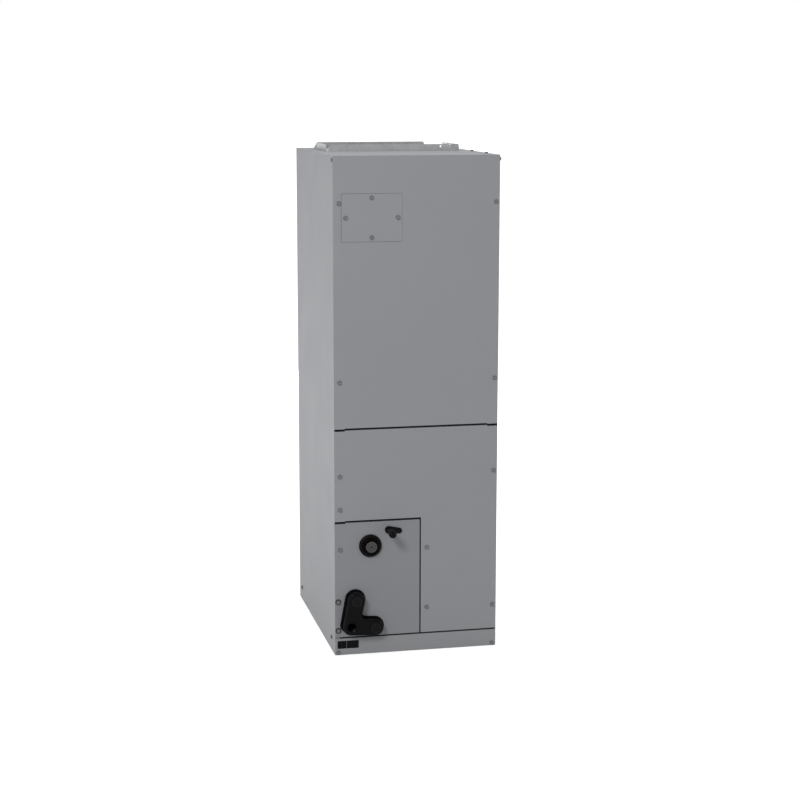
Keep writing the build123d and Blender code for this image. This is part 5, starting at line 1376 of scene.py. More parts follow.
@dataclass
class Fittings:
    """Grommets, caps, plugs and the drain outlet block on the fitting panel."""

    palette: Palette
    panel_face: float = -0.28
    block_front: float = -0.305
    rim_front: float = -0.3066
    port: float = 12.1 * MM
    port_depth: float = 20.0 * MM
    thread_pitch: float = 1.81 * MM
    thread_root: float = 13.3 * MM
    open_port: tuple[float, float] = (-0.1715, 0.078)
    plugged_ports: tuple[tuple[float, float], ...] = ((-0.1583, 0.1454), (-0.1093, 0.074))
    plug_ribs: int = 20
    plug_flutes: int = 16
    cap_flutes: int = 18
    cap_rings: Point = (-46.0, -38.0, -30.0)

    def suction_grommet(self) -> None:
        """Build the rubber ring round the suction stub, with its ridges and its dish."""
        low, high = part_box("suction_grommet")
        centre = ((low[0] + high[0]) / 2, self.panel_face, (low[2] + high[2]) / 2)
        profile = [(12.4, -3.9), (27.0, -3.9), (27.0, -1.1), (24.0, -0.9), (24.0, 0.0), (28.5, 0.0),
                   (29.0, 0.5), (29.0, 3.6), (28.2, 5.6), (26.6, 6.7), (24.6, 7.0), (22.8, 6.8), (21.9, 5.9),
                   (21.3, 5.1), (20.8, 5.4), (20.1, 5.3), (19.5, 4.4), (16.6, 2.9), (16.0, 3.3), (15.2, 3.2),
                   (14.6, 2.2), (13.0, 0.9), (12.4, 0.2)]
        maker = Maker()
        maker.turned(in_mm(profile), Facing.FRONT.at(centre), 72, hollow=True)
        maker.replace("suction_grommet_ring", [self.palette.grommet], ["suction_grommet"])

    def suction_plug(self) -> None:
        """Build the plug in the suction stub: a rimmed disc with radial ribs and a pinhole."""
        low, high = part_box("suction_plug")
        centre = ((low[0] + high[0]) / 2, low[1] + 3.0 * MM, (low[2] + high[2]) / 2)
        place = Facing.FRONT.at(centre)
        profile = [(2.2, -15.0), (9.2, -15.0), (9.6, -14.2), (9.6, 0.0), (13.7, 0.0), (14.0, 0.3),
                   (14.0, 2.3), (13.5, 2.9), (12.4, 3.0), (11.9, 2.5), (11.6, 1.7), (5.6, 1.5), (5.1, 2.1),
                   (4.4, 2.7), (3.2, 2.8), (2.5, 2.4), (2.2, 1.6)]
        maker = Maker()
        maker.turned(in_mm(profile), place, 64, hollow=True)
        for i in range(self.plug_ribs):
            spoke = place @ Matrix.Rotation(FULL_TURN * i / self.plug_ribs, 4, "Z")
            maker.block((5.0 * MM, -0.35 * MM, 1.2 * MM), (12.0 * MM, 0.35 * MM, 2.35 * MM), 0.15 * MM, spoke)
        maker.replace("suction_plug_ribbed", [self.palette.plug], ["suction_plug"])

    def liquid_cap(self) -> None:
        """Build the cap on the liquid stub: a fluted head and a neck with moulded rings."""
        low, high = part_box("liquid_cap")
        centre = ((low[0] + high[0]) / 2, low[1], (low[2] + high[2]) / 2)
        grip = fluted(9.4 * MM, 0.5 * MM, self.cap_flutes)
        neck_end = -(high[1] - low[1])
        profile: list[tuple[Radius, float]] = [
            (0.1 * MM, -3.7 * MM), (5.4 * MM, -3.7 * MM), (5.75 * MM, -4.1 * MM), (5.75 * MM, neck_end),
            (6.4 * MM, neck_end), (6.7 * MM, neck_end + 0.4 * MM),
        ]
        for ring in self.cap_rings:
            profile += in_mm([(6.7, ring - 1.2), (7.2, ring - 0.8), (7.2, ring + 0.8), (6.7, ring + 1.2)])
        profile += in_mm([(6.7, -21.6), (7.4, -20.6), (8.6, -20.0)])
        profile += [(grip, -19.0 * MM), (grip, -5.5 * MM)]
        profile += in_mm([(8.9, -4.0), (8.5, -2.2), (7.4, -0.9), (5.6, -0.2), (2.6, -0.3), (1.6, 0.0),
                          (0.1, 0.0)])
        maker = Maker()
        maker.turned(profile, Facing.FRONT.at(centre), 108)
        maker.replace("liquid_cap_fluted", [self.palette.cap], ["liquid_cap"])

    def drain_plug(self, node: str) -> None:
        """Build one drain plug: a scalloped head with a square recess, and its threaded shank.

        Args:
            node: The CAD node that it replaces.
        """
        low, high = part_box(node)
        head, rise = 14.4 * MM, 1.8 * MM
        centre = ((low[0] + high[0]) / 2, low[1] + rise, (low[2] + high[2]) / 2)
        place = Facing.FRONT.at(centre)
        grip = fluted(head, 0.7 * MM, self.plug_flutes)
        maker = Maker()
        maker.turned([
            (self.port - 0.4 * MM, -0.2 * MM), (self.port, 0.0), (head - 0.7 * MM, 0.0), (grip, 0.3 * MM),
            (grip, rise - 0.5 * MM), (head - 1.1 * MM, rise - 0.05 * MM), (8.2 * MM, rise - 0.05 * MM),
            (7.8 * MM, rise - 0.5 * MM), (square(11.4 * MM, 0.9 * MM), rise - 0.5 * MM),
            (square(10.8 * MM, 0.9 * MM), rise), (square(9.2 * MM, 0.8 * MM), rise),
            (square(9.0 * MM, 0.8 * MM), rise - 0.3 * MM), (square(8.8 * MM, 0.8 * MM), -5.0 * MM),
            (0.2 * MM, -5.0 * MM),
        ], place, 96)
        maker.add(threaded(place, self.port - 0.05 * MM, self.thread_pitch, high[1] - centre[1], 40))
        maker.replace(f"{node}_gripped", [self.palette.drain_plug], [node])

    def outline_loop(self) -> list[Vector]:
        """Follow the long edge round the front face of the drain outlet block.

        Returns:
            Its points, in order.
        """
        bm = welded("drain_outlet_block")

        def flat(face: bmesh.types.BMFace) -> bool:
            """Return whether a face lies in the block's front plane."""
            return all(abs(v.co.y - self.block_front) < 1e-5 for v in face.verts)

        rim = [e for e in bm.edges if sum(flat(f) for f in e.link_faces) == 1]
        loops = []
        while rim:
            edge = rim.pop()
            chain = [edge.verts[0], edge.verts[1]]
            while True:
                onward = next((e for e in chain[-1].link_edges if e in rim), None)
                if onward is None:
                    break
                rim.remove(onward)
                chain.append(onward.other_vert(chain[-1]))
            loops.append([v.co.copy() for v in chain])
        bm.free()
        longest = max(loops, key=lambda loop: sum((b - a).length for a, b in zip(loop, loop[1:])))
        return longest[:-1] if (longest[0] - longest[-1]).length < 1e-6 else longest

    def drain_block(self) -> None:
        """Dress the drain outlet block, thread its open port and run a moulded bead round its face."""
        place = Facing.FRONT.at((self.open_port[0], self.rim_front, self.open_port[1]))
        root = self.thread_root
        cut, _ = lathe([(root, -self.port_depth + 0.4 * MM), (root, 1.0 * MM)], place, 64)
        softened("drain_outlet_block", self.palette.drain, 0.5 * MM, 3, cut=cut)
        maker = Maker()
        sleeve = Matrix.Translation((0.0, 0.05 * MM, 0.0)) @ place
        maker.add(threaded(sleeve, self.port, self.thread_pitch, self.port_depth - 0.5 * MM, 56, root))
        maker.bead(self.outline_loop(), 0.75 * MM, closed=True)
        collar = in_mm([(15.4, -0.3), (16.7, -0.3), (16.7, 0.3), (16.3, 0.6), (15.4, 0.6)])
        for x, z in (self.open_port, *self.plugged_ports):
            maker.turned(collar, Facing.FRONT.at((x, self.block_front, z)), 72, hollow=True)
        maker.trim("drain_block_mouldings", self.palette.drain, "casing", 40.0)

    def build(self) -> None:
        """Build and dress each fitting."""
        self.suction_grommet()
        softened("liquid_grommet", self.palette.grommet, 0.5 * MM, 3)
        softened("drain_gasket", self.palette.gasket, 0.4 * MM)
        self.suction_plug()
        self.liquid_cap()
        self.drain_block()
        for node in ("drain_plug_upper", "drain_plug_right"):
            self.drain_plug(node)


@dataclass
class Coil:
    """The coil with its dense fins, its pipework and its pans."""

    palette: Palette
    sheet_gap: float = 2.2 * MM
    fin_pitch: float = 2.2 * MM
    fin_thick: float = 0.16 * MM
    ripples: int = 4
    ripple: float = 0.5 * MM

    def fins(self) -> None:
        """Replace the few thick fins with dense rippled ones over the same space."""
        low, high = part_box("tube_sheets")
        front, back = low[1] + self.sheet_gap, high[1] - self.sheet_gap
        count = int((back - front) / self.fin_pitch)
        maker = Maker()
        for slab in self.slab_corners():
            part = bmesh.new()
            for i in range(count + 1):
                self.one_fin(part, slab, front + (back - front) * i / count)
            maker.add(part)
        maker.replace("coil_fin_pack", [self.palette.fins], ["coil_fins"], 20.0)

    def slab_corners(self) -> list[list[Vector]]:
        """Read each leaning slab from one CAD fin on its side.

        Returns:
            The four corners of each slab.
        """
        found = {}
        for points in islands("coil_fins"):
            low, high = limits(points)
            side = 1 if (low + high)[0] > 0 else -1
            if side in found:
                continue
            lowest = min(points, key=lambda p: p.z)
            highest = max(points, key=lambda p: p.z)
            outer = max(points, key=lambda p: side * p.x)
            inner = min(points, key=lambda p: side * p.x)
            found[side] = [lowest, outer, highest, inner]
        return [found[side] for side in sorted(found)]

    def one_fin(self, part: Geometry, corners: Sequence[Vector], y: float) -> None:
        """Add one rippled fin at a depth.

        Args:
            part: The part that takes it.
            corners: The slab's four corners.
            y: The fin's depth.
        """
        low_in, low_out, high_out, high_in = corners
        rows = []
        columns = 2 * self.ripples
        for face in (-0.5, 0.5):
            row = []
            for start, end in ((low_in, low_out), (high_in, high_out)):
                for c in range(columns + 1):
                    point = start.lerp(end, c / columns)
                    wave = self.ripple if c % 2 else 0.0
                    row.append(part.verts.new((point.x, y + wave + face * self.fin_thick, point.z)))
            rows.append(row)
        width = columns + 1
        for row in rows:
            for c in range(columns):
                part.faces.new((row[c], row[c + 1], row[width + c + 1], row[width + c]))
        a, b = rows
        for c in range(columns):
            part.faces.new((a[c], a[c + 1], b[c + 1], b[c]))
            part.faces.new((a[width + c + 1], a[width + c], b[width + c], b[width + c + 1]))
        for c in (0, columns):
            part.faces.new((a[c], b[c], b[width + c], a[width + c]))

    def build(self) -> None:
        """Build the fins and dress the rest."""
        self.fins()
        softened("tube_sheets", self.palette.galvanised, 0.2 * MM, 1)
        softened("coil_closing_plates", self.palette.galvanised, 0.3 * MM)
        dress("coil_tubes", self.palette.copper)
        for node in ("suction_manifold", "suction_stub", "liquid_line", "feeder_tubes"):
            dress(node, self.palette.pipe)
        softened("metering_device", self.palette.brass, 0.4 * MM)
        softened("main_drain_pan", self.palette.pan, 0.8 * MM, 3)
        softened("side_drain_pan", self.palette.pan, 0.8 * MM, 3)


@dataclass
class Blower:
    """Blower housing, wheel and motor."""

    palette: Palette
    shaft_y: float = -0.012
    shaft_z: float = 1.067
    wheel_radius: float = 114.2 * MM
    wheel_half: float = 101.4 * MM
    blades: int = 48
    blade_depth: float = 17.0 * MM
    blade_thick: float = 0.6 * MM
    blade_steps: int = 6
    rivets: int = 6
    motor_start: float = 0.030
    motor_length: float = 0.118
    motor_sides: int = 96
    vent_rows: tuple[int, int] = (6, 22)
    vent_pitch: int = 8
    vent_faces: int = 5
    through_bolts: int = 4
    bolt_reach: float = 60.0 * MM
    band_at: float = 0.1565
    band_reach: float = 76.5 * MM
    band_ear: float = 6.0 * MM

    def on_shaft(self, along: float = 0.0) -> Matrix:
        """Return a place on the shaft with Z along it, to the right."""
        return Facing.RIGHT.at((along, self.shaft_y, self.shaft_z))

    def blade(self, part: Geometry, turn: float) -> None:
        """Add one forward-curved blade.

        Args:
            part: The part that takes it.
            turn: Its place round the wheel, in radians.
        """
        outer = self.wheel_radius - 1.0 * MM
        inner = outer - self.blade_depth
        curve = []
        for i in range(self.blade_steps + 1):
            share = i / self.blade_steps
            radius = inner + (outer - inner) * share
            lead = (0.085 * share ** 2 - 0.02 * math.sin(math.pi * share)) + turn
            curve.append((radius, lead))
        ends = []
        half = self.wheel_half - 1.2 * MM
        for along in (-half, half):
            place = self.on_shaft(along)
            ring = []
            for sign, points in ((0.5, curve), (-0.5, list(reversed(curve)))):
                for radius, lead in points:
                    angle = lead + sign * self.blade_thick / radius
                    ring.append(part.verts.new(place @ around(radius, angle)))
            ends.append(ring)
        bridge(part, [(ends[0], ends[1])])
        part.faces.new(ends[0])
        part.faces.new(ends[1])

    def wheel(self) -> None:
        """Replace the wheel with one of thin curved blades between rolled rings."""
        maker = Maker()
        part = bmesh.new()
        for i in range(self.blades):
            self.blade(part, FULL_TURN * i / self.blades)
        maker.add(part)
        r, h = self.wheel_radius, self.wheel_half
        for sign in (-1.0, 1.0):
            profile = [(r - 20.0 * MM, h - 0.4 * MM), (r - 19.0 * MM, h - 1.4 * MM),
                       (r - 1.2 * MM, h - 1.6 * MM), (r - 0.9 * MM, h - 6.0 * MM), (r, h - 6.0 * MM),
                       (r, h - 1.0 * MM), (r - 1.0 * MM, h), (r - 19.0 * MM, h - 0.2 * MM),
                       (r - 20.0 * MM, h)]
            ring = [(radius, sign * along) for radius, along in profile]
            maker.turned(ring, self.on_shaft(), 96, hollow=True)
        disc = [(16.6, -0.75), (24.0, -0.75), (27.0, -2.4), (52.0, -2.4), (56.0, -0.75), (92.0, -0.75),
                (94.0, -1.6), (113.2, -1.6), (113.2, -0.8), (94.8, -0.8), (92.8, 0.0), (56.8, 0.0),
                (52.8, -1.6), (27.6, -1.6), (24.6, 0.0), (16.6, 0.0)]
        maker.turned(in_mm(disc), self.on_shaft(), 96, hollow=True)
        for i in range(self.rivets):
            rivet = self.on_shaft() @ Matrix.Rotation(FULL_TURN * i / self.rivets, 4, "Z")
            seat = rivet @ Matrix.Translation((20.0 * MM, 0.0, -0.1 * MM))
            maker.turned(in_mm([(1.9, 0.0), (1.8, 0.5), (1.2, 0.95), (0.2, 1.1)]), seat, 16)
        maker.replace("blower_wheel_bladed", [self.palette.galvanised], ["blower_wheel"])

    def motor(self) -> None:
        """Replace the motor with one that has end bells, vents, through-bolts and a lead grommet."""
        place = self.on_shaft(self.motor_start)
        profile = [
            (7.0, 2.0), (7.4, 0.2), (13.6, 0.0), (14.6, 1.0), (15.2, 3.6), (28.0, 3.0), (31.0, 2.6),
            (52.0, 2.6), (55.0, 3.0), (61.0, 3.4), (65.5, 6.0), (68.8, 10.5), (70.0, 17.0), (70.0, 33.4),
            (69.2, 34.0), (69.2, 84.0), (70.0, 84.6), (70.0, 101.0), (68.8, 107.5), (65.5, 112.0),
            (61.0, 114.6), (55.0, 115.0), (52.0, 115.4), (31.0, 115.4), (28.0, 115.0), (15.2, 114.4),
            (14.6, 117.0), (13.6, 118.0), (0.2, 118.0),
        ]
        part, rows = lathe(in_mm(profile), place, self.motor_sides)
        for row in self.vent_rows:
            for first in range(0, self.motor_sides, self.vent_pitch):
                at_lead = abs((first + self.vent_faces / 2) / self.motor_sides - 0.75) < 0.06
                if row == self.vent_rows[-1] and at_lead:
                    continue
                slot = [rows[row][(first + k) % self.motor_sides] for k in range(self.vent_faces)]
                bmesh.ops.recalc_face_normals(part, faces=part.faces)
                bmesh.ops.inset_region(part, faces=slot, thickness=0.9 * MM, depth=-0.1 * MM)
                bmesh.ops.inset_region(part, faces=slot, thickness=0.2 * MM, depth=-2.2 * MM)
                # The slots' floors take the near-black finish, which is painted shade for the inside of the
                # motor.
                for face in slot:
                    face.material_index = 1
        maker = Maker()
        maker.join(part)
        maker.finish = 2
        flat = hexagon(7.0 * MM)
        nut = [(flat, -0.6 * MM), (flat, 2.0 * MM)]
        nut += in_mm([(3.2, 2.5), (1.9, 2.5), (1.9, 3.1), (0.2, 3.2)])
        for i in range(self.through_bolts):
            for along, sign in ((3.4 * MM, -1.0), (self.motor_length - 3.4 * MM, 1.0)):
                bolt = place @ Matrix.Rotation(FULL_TURN * (i + 0.5) / self.through_bolts, 4, "Z")
                seat = bolt @ Matrix.Translation((self.bolt_reach, 0.0, along))
                maker.turned(nut, seat @ Matrix.Diagonal((1.0, 1.0, sign, 1.0)), 24)
        maker.finish = 3
        lead = Facing.RIGHT.at((self.motor_start + self.motor_length - 3.0 * MM, self.shaft_y,
                                self.shaft_z - 35.0 * MM))
        collar = in_mm([(5.1, 0.0), (8.4, 0.0), (8.4, 1.6), (7.0, 2.4), (6.6, 2.9), (5.1, 2.9)])
        maker.turned(collar, lead, 32, hollow=True)
        # The through-bolt nuts take the darker zinc copy, which is painted shade.
        finishes = [self.palette.motor, self.palette.vent, self.palette.screw, self.palette.grommet]
        maker.replace("motor_with_vents", finishes, ["motor_body"])

    def band_bolt(self) -> None:
        """Add the bolt that pulls the motor band's ears together."""
        maker = Maker()
        at = Vector((self.band_at, self.shaft_y + self.band_reach, self.shaft_z))
        flat = hexagon(7.0 * MM)
        nut = [(flat, 0.0), (flat, 2.6 * MM), (3.0 * MM, 3.2 * MM), (0.2 * MM, 3.2 * MM)]
        for sign in (-1.0, 1.0):
            seat = Matrix.Translation(at) @ Matrix.Translation((0.0, 0.0, sign * self.band_ear))
            maker.turned(nut, seat @ Matrix.Diagonal((1.0, 1.0, sign, 1.0)), 24)
        maker.bead([at - Vector((0, 0, 0.0058)), at + Vector((0, 0, 0.0058))], 1.9 * MM, 16)
        # The band bolt takes the darker zinc copy, which is painted shade.
        maker.trim("motor_band_bolt", self.palette.screw, "casing")

    def build(self) -> None:
        """Build the wheel and the motor and dress the rest."""
        for node in ("scroll_sides", "scroll_wrap", "motor_mount"):
            softened(node, self.palette.galvanised, 0.3 * MM)
        self.wheel()
        softened("wheel_hub", self.palette.shaft, 0.4 * MM)
        softened("motor_shaft", self.palette.shaft, 0.6 * MM)
        self.motor()
        self.band_bolt()


class OnBoard(Enum):
    """The finishes of the control board's pieces, by the numbers of their faces."""

    BOARD = 0
    CHIP = 1
    PALE = 2
    METAL = 3
    RELAY = 4
    DIODE = 5
    FUSE = 6
    CAN = 7


def four_corners(x: float, z: float) -> list[tuple[float, float]]:
    """Return the four corners of a rectangle about its middle, from half its width and half its height."""
    return [(-x, -z), (-x, z), (x, -z), (x, z)]


@dataclass
class Controls:
    """The control tray and the electrical parts on it."""

    palette: Palette
    tray_face: float = -0.191
    board_face: float = -0.2006
    board_x: float = 0.125
    board_z: float = 1.105
    board_thick: float = 1.6 * MM
    board_half: tuple[float, float] = (55.0 * MM, 40.0 * MM)
    post_half: tuple[float, float] = (49.0 * MM, 34.0 * MM)
    slot_width: float = 0.9 * MM
    core_height: float = 34.0 * MM
    coil_half: tuple[float, float] = (18.4 * MM, 15.4 * MM)
    lug_depth: float = 5.0 * MM

    def terminals(self) -> None:
        """Replace the clamp screws with slotted ones on plates, and the earth lug with a drilled one."""
        heads, cuts = bmesh.new(), bmesh.new()
        maker = Maker()
        for points in islands("terminal_metal"):
            low, high = limits(points)
            centre = (low + high) / 2
            if high.y - low.y > self.lug_depth:
                self.lug(maker, low, high)
                continue
            radius = (high.x - low.x) / 2
            place = Facing.FRONT.at((centre.x, high.y, centre.z))
            part, _ = lathe([(radius - 0.1 * MM, 0.0), (radius, 0.2 * MM), (radius, 2.0 * MM),
                             (radius - 0.5 * MM, 2.8 * MM), (0.2 * MM, 3.0 * MM)], place, 28)
            merge(heads, part)
            slot = place @ Matrix.Rotation(0.4 + 3.1 * centre.x * 100.0, 4, "Z")
            cube = bmesh.new()
            shape = Matrix.Translation((0.0, 0.0, 3.0 * MM)) @ Matrix.Diagonal(
                (2.4 * radius, self.slot_width, 2.2 * MM, 1.0))
            bmesh.ops.create_cube(cube, size=1.0, matrix=slot @ shape)
            merge(cuts, cube)
            side = 5.2 * MM
            maker.block((centre.x - side, high.y - 0.1 * MM, centre.z - 4.4 * MM),
                        (centre.x + side, high.y + 0.9 * MM, centre.z + 4.4 * MM), 0.2 * MM)
        maker.add(carved(heads, cuts))
        maker.replace("terminal_screws_slotted", [self.palette.terminal_metal], ["terminal_metal"], 25.0)

    def lug(self, maker: Maker, low: Vector, high: Vector) -> None:
        """Add the earth lug with its wire hole and its clamp screw.

        Args:
            maker: The piece that takes it.
            low: The lug's lowest corner.
            high: The lug's highest corner.
        """
        centre = (low + high) / 2
        body = bmesh.new()
        shape = Matrix.Translation(centre) @ Matrix.Diagonal((*(high - low), 1.0))
        bmesh.ops.create_cube(body, size=1.0, matrix=shape)
        bmesh.ops.bevel(body, geom=body.edges[:], offset=0.6 * MM, segments=2, affect="EDGES")
        hole, _ = lathe(in_mm([(3.2, -10.0), (3.2, 10.0)]), Facing.TOP.at(centre), 32)
        maker.add(carved(body, hole))
        maker.turned(in_mm([(2.6, -4.0), (2.6, 0.9), (2.0, 1.4), (1.2, 1.4), (1.0, 0.2), (0.2, 0.2)]),
                     Facing.FRONT.at((centre.x, low.y + 1.4 * MM, centre.z)), 24)

    def transformer(self) -> None:
        """Replace the transformer: laminated core, bobbin, taped winding, bolts and tabs."""
        low, high = span("transformer")
        maker = Maker()
        centre = (low + high) / 2
        front, back = self.tray_face - self.core_height, self.tray_face
        maker.block((low.x, front + 4.0 * MM, low.z), (high.x, back - 4.0 * MM, high.z), 0.5 * MM)
        maker.finish = 1
        coil_x, coil_z = self.coil_half
        maker.block((centre.x - coil_x, low.y, centre.z - coil_z),
                    (centre.x + coil_x, back - 0.5 * MM, centre.z + coil_z), 3.0 * MM)
        maker.finish = 2
        for sign in (-1.0, 1.0):
            z = centre.z + sign * (coil_z + 0.4 * MM)
            maker.block((centre.x - coil_x - 1.0 * MM, low.y + 1.0 * MM, z - 0.8 * MM),
                        (centre.x + coil_x + 1.0 * MM, back - 1.0 * MM, z + 0.8 * MM), 0.3 * MM)
        maker.finish = 3
        flat = hexagon(6.0 * MM)
        bolt = [(flat, 0.0), (flat, 2.2 * MM), (2.6 * MM, 2.7 * MM), (0.2 * MM, 2.7 * MM)]
        for x, z in four_corners(26.0 * MM, 21.0 * MM):
            maker.turned(bolt, Facing.FRONT.at((centre.x + x, front + 4.0 * MM, centre.z + z)), 24)
        for i in range(4):
            x = centre.x + (i - 1.5) * 8.0 * MM
            y, z = low.y + 4.0 * MM, centre.z + coil_z + 0.8 * MM
            maker.block((x - 2.4 * MM, y, z), (x + 2.4 * MM, y + 0.8 * MM, z + 6.5 * MM), 0.2 * MM)
        finishes = [self.palette.laminations, self.palette.winding, self.palette.terminal,
                    self.palette.terminal_metal]
        maker.replace("transformer_wound", finishes, ["transformer"])

    def chips(self, maker: Maker) -> None:
        """Add the small parts of the board: chips, resistors, diodes, a fuse, tabs and screws.

        Args:
            maker: The board's piece.
        """
        front = self.board_face
        spots = [(-14, 8, 10, 5, 1.6), (2, 12, 7, 5, 1.4), (2, -2, 9, 4, 1.5), (-30, -20, 8, 8, 1.8),
                 (-10, -24, 12, 6, 2.2), (34, -6, 6, 6, 1.5), (16, 28, 8, 4, 1.4)]
        maker.finish = OnBoard.CHIP.value
        for spot in spots:
            self.part(maker, *spot)
        for i in range(26):
            kind = OnBoard.CHIP if i % 3 else OnBoard.PALE
            maker.finish = kind.value
            self.part(maker, -48 + (i * 37) % 97, -35 + (i * 23) % 71, 1.7, 0.9, 0.6)
        maker.finish = OnBoard.DIODE.value
        for i in range(5):
            x, y = self.board_x + (-44 + i * 5.5) * MM, front - 1.6 * MM
            maker.bead([Vector((x, y, self.board_z + 32.0 * MM)), Vector((x, y, self.board_z + 26.0 * MM))],
                       1.1 * MM, 10)
        maker.finish = OnBoard.FUSE.value
        self.part(maker, 44.0, 30.0, 14.0, 5.0, 7.0)
        maker.finish = OnBoard.METAL.value
        for i in range(7):
            self.part(maker, -46.0 + 10.0 * i, 36.5, 5.0, 0.8, 7.5)
        for x, z in four_corners(*self.post_half):
            at = (self.board_x + x, front, self.board_z + z)
            maker.turned(in_mm([(2.6, 0.0), (2.6, 0.9), (1.8, 1.7), (0.2, 1.7)]), Facing.FRONT.at(at), 20)

    def part(self, maker: Maker, x: float, z: float, wide: float, high: float, rise: float) -> None:
        """Add one block on the board's front face, with its place and sizes in millimetres.

        Args:
            maker: The board's piece.
            x: Place across the board, from its middle.
            z: Place up the board, from its middle.
            wide: Width.
            high: Height.
            rise: How far it stands out.
        """
        front, centre_x, centre_z = self.board_face, self.board_x + x * MM, self.board_z + z * MM
        maker.block((centre_x - wide / 2 * MM, front - rise * MM, centre_z - high / 2 * MM),
                    (centre_x + wide / 2 * MM, front + 0.1 * MM, centre_z + high / 2 * MM), 0.2 * MM)

    def board(self) -> None:
        """Replace the control board: board, relay, connector, capacitors and small parts."""
        maker = Maker()
        x, z, front = self.board_x, self.board_z, self.board_face
        half_x, half_z = self.board_half
        maker.block((x - half_x, front, z - half_z), (x + half_x, front + self.board_thick, z + half_z),
                    0.2 * MM)
        self.chips(maker)
        maker.finish = OnBoard.RELAY.value
        self.part(maker, -27.5, 13.3, 22.0, 26.0, 14.0)
        maker.finish = OnBoard.PALE.value
        self.part(maker, 18.3, -26.7, 36.0, 7.0, 9.0)
        maker.finish = OnBoard.METAL.value
        for i in range(9):
            self.part(maker, 18.3 + (i - 4) * 3.8, -26.7, 0.9, 0.9, 9.6)
        for at, r, top in (((27.5, 16.0), 6.5, 16.0), ((12.0, 2.0), 3.2, 8.0), ((44.0, 8.0), 4.0, 10.0)):
            place = Facing.FRONT.at((x + at[0] * MM, front, z + at[1] * MM))
            maker.finish = OnBoard.CAN.value
            can = in_mm([(r, -0.1), (r, 1.0), (r - 0.4, 1.6), (r, 2.2), (r, top - 0.5), (r - 0.5, top)])
            maker.turned(can, place, 28)
            maker.finish = OnBoard.METAL.value
            maker.turned(in_mm([(r - 0.7, top - 0.1), (r - 0.8, top + 0.05), (0.2, top + 0.05)]), place, 28)
        maker.finish = OnBoard.PALE.value
        post = in_mm([(3.0, 0.0), (3.0, 0.8), (2.5, 1.4), (2.5, 6.8), (3.0, 7.2), (3.0, 8.0)])
        for out_x, out_z in four_corners(*self.post_half):
            maker.turned(post, Facing.FRONT.at((x + out_x, self.tray_face, z + out_z)), 24)
        finishes = [self.palette.board, self.palette.chip, self.palette.pale, self.palette.terminal_metal,
                    self.palette.blue, self.palette.red, self.palette.red, self.palette.chip]
        maker.replace("control_board_populated", finishes, ["control_board"])

    def capacitor(self) -> None:
        """Replace the capacitor: a crimped can with an insulated end, tabs and a strap."""
        low, high = span("run_capacitor")
        centre = (low + high) / 2
        radius = (high.z - low.z) / 2
        length = high.x - low.x
        place = Facing.LEFT.at((high.x, centre.y, centre.z))
        r = radius - 0.6 * MM
        body = length - 9.0 * MM
        maker = Maker()
        maker.turned([(0.2 * MM, 0.0), (r - 3.0 * MM, 0.0), (r - 1.0 * MM, 0.8 * MM), (r, 2.6 * MM),
                      (r, body - 7.0 * MM), (r - 1.2 * MM, body - 6.0 * MM), (r - 1.2 * MM, body - 4.6 * MM),
                      (r, body - 3.6 * MM), (r, body - 1.4 * MM), (r - 0.5 * MM, body - 0.5 * MM),
                      (r - 1.8 * MM, body - 0.5 * MM), (r - 2.0 * MM, body - 1.8 * MM),
                      (0.2 * MM, body - 1.8 * MM)], place, 64)
        maker.finish = 1
        maker.turned([(r - 2.2 * MM, body - 2.0 * MM), (r - 2.2 * MM, body - 1.2 * MM),
                      (6.0 * MM, body - 1.2 * MM), (5.0 * MM, body - 0.2 * MM), (0.2 * MM, body - 0.2 * MM)],
                     place, 48)
        maker.finish = 2
        for angle in (0.2, 2.3, 4.4):
            tab = place @ Matrix.Rotation(angle, 4, "Z")
            for shift in (-1.6, 1.6):
                maker.block((7.0 * MM, (shift - 0.4) * MM, body - 1.4 * MM),
                            (12.6 * MM, (shift + 0.4) * MM, length - 0.2 * MM), 0.15 * MM, tab)
        maker.finish = 3
        start, end, inner = body * 0.5 - 6.0 * MM, body * 0.5 + 6.0 * MM, r + 0.05 * MM
        maker.turned([(inner, start), (radius, start), (radius, end), (inner, end)], place, 64, hollow=True)
        finishes = [self.palette.can, self.palette.terminal, self.palette.terminal_metal,
                    self.palette.galvanised]
        maker.replace("run_capacitor_crimped", finishes, ["run_capacitor"])

    def relay(self) -> None:
        """Replace the relay: a ribbed cover with tabs on its front."""
        low, high = span("blower_relay")
        centre = (low + high) / 2
        maker = Maker()
        front = low.y + 8.0 * MM
        maker.block((low.x, front, low.z + 1.0 * MM), (high.x, high.y, high.z - 1.0 * MM), 1.4 * MM)
        for i in range(5):
            x = low.x + (6.0 + 7.5 * i) * MM
            for z in (low.z, high.z - 1.6 * MM):
                maker.block((x - 1.0 * MM, front + 2.0 * MM, z),
                            (x + 1.0 * MM, high.y - 2.0 * MM, z + 1.6 * MM))
        maker.finish = 1
        for i in range(3):
            for z in (-8.0, 8.0):
                x = centre.x + (i - 1) * 12.0 * MM
                at = centre.z + z * MM
                maker.block((x - 3.1 * MM, low.y + 0.2 * MM, at - 0.4 * MM),
                            (x + 3.1 * MM, front + 0.5 * MM, at + 0.4 * MM), 0.2 * MM)
        maker.replace("blower_relay_tabbed", [self.palette.relay, self.palette.terminal_metal],
                      ["blower_relay"])

    def build(self) -> None:
        """Build the electrical parts and dress the tray and the motor lead."""
        softened("control_tray", self.palette.galvanised, 0.3 * MM)
        softened("terminal_block", self.palette.terminal, 0.4 * MM, 3)
        self.terminals()
        self.transformer()
        self.board()
        self.capacitor()
        self.relay()
        dress("motor_harness", self.palette.sleeve)


def merge(whole: Geometry, part: Geometry) -> None:
    """Move a part's geometry into another, and free it.

    Args:
        whole: What takes it.
        part: What is moved.
    """
    bmesh.ops.recalc_face_normals(part, faces=part.faces)
    mesh = to_mesh(part, "part")
    whole.from_mesh(mesh)
    bpy.data.meshes.remove(mesh)


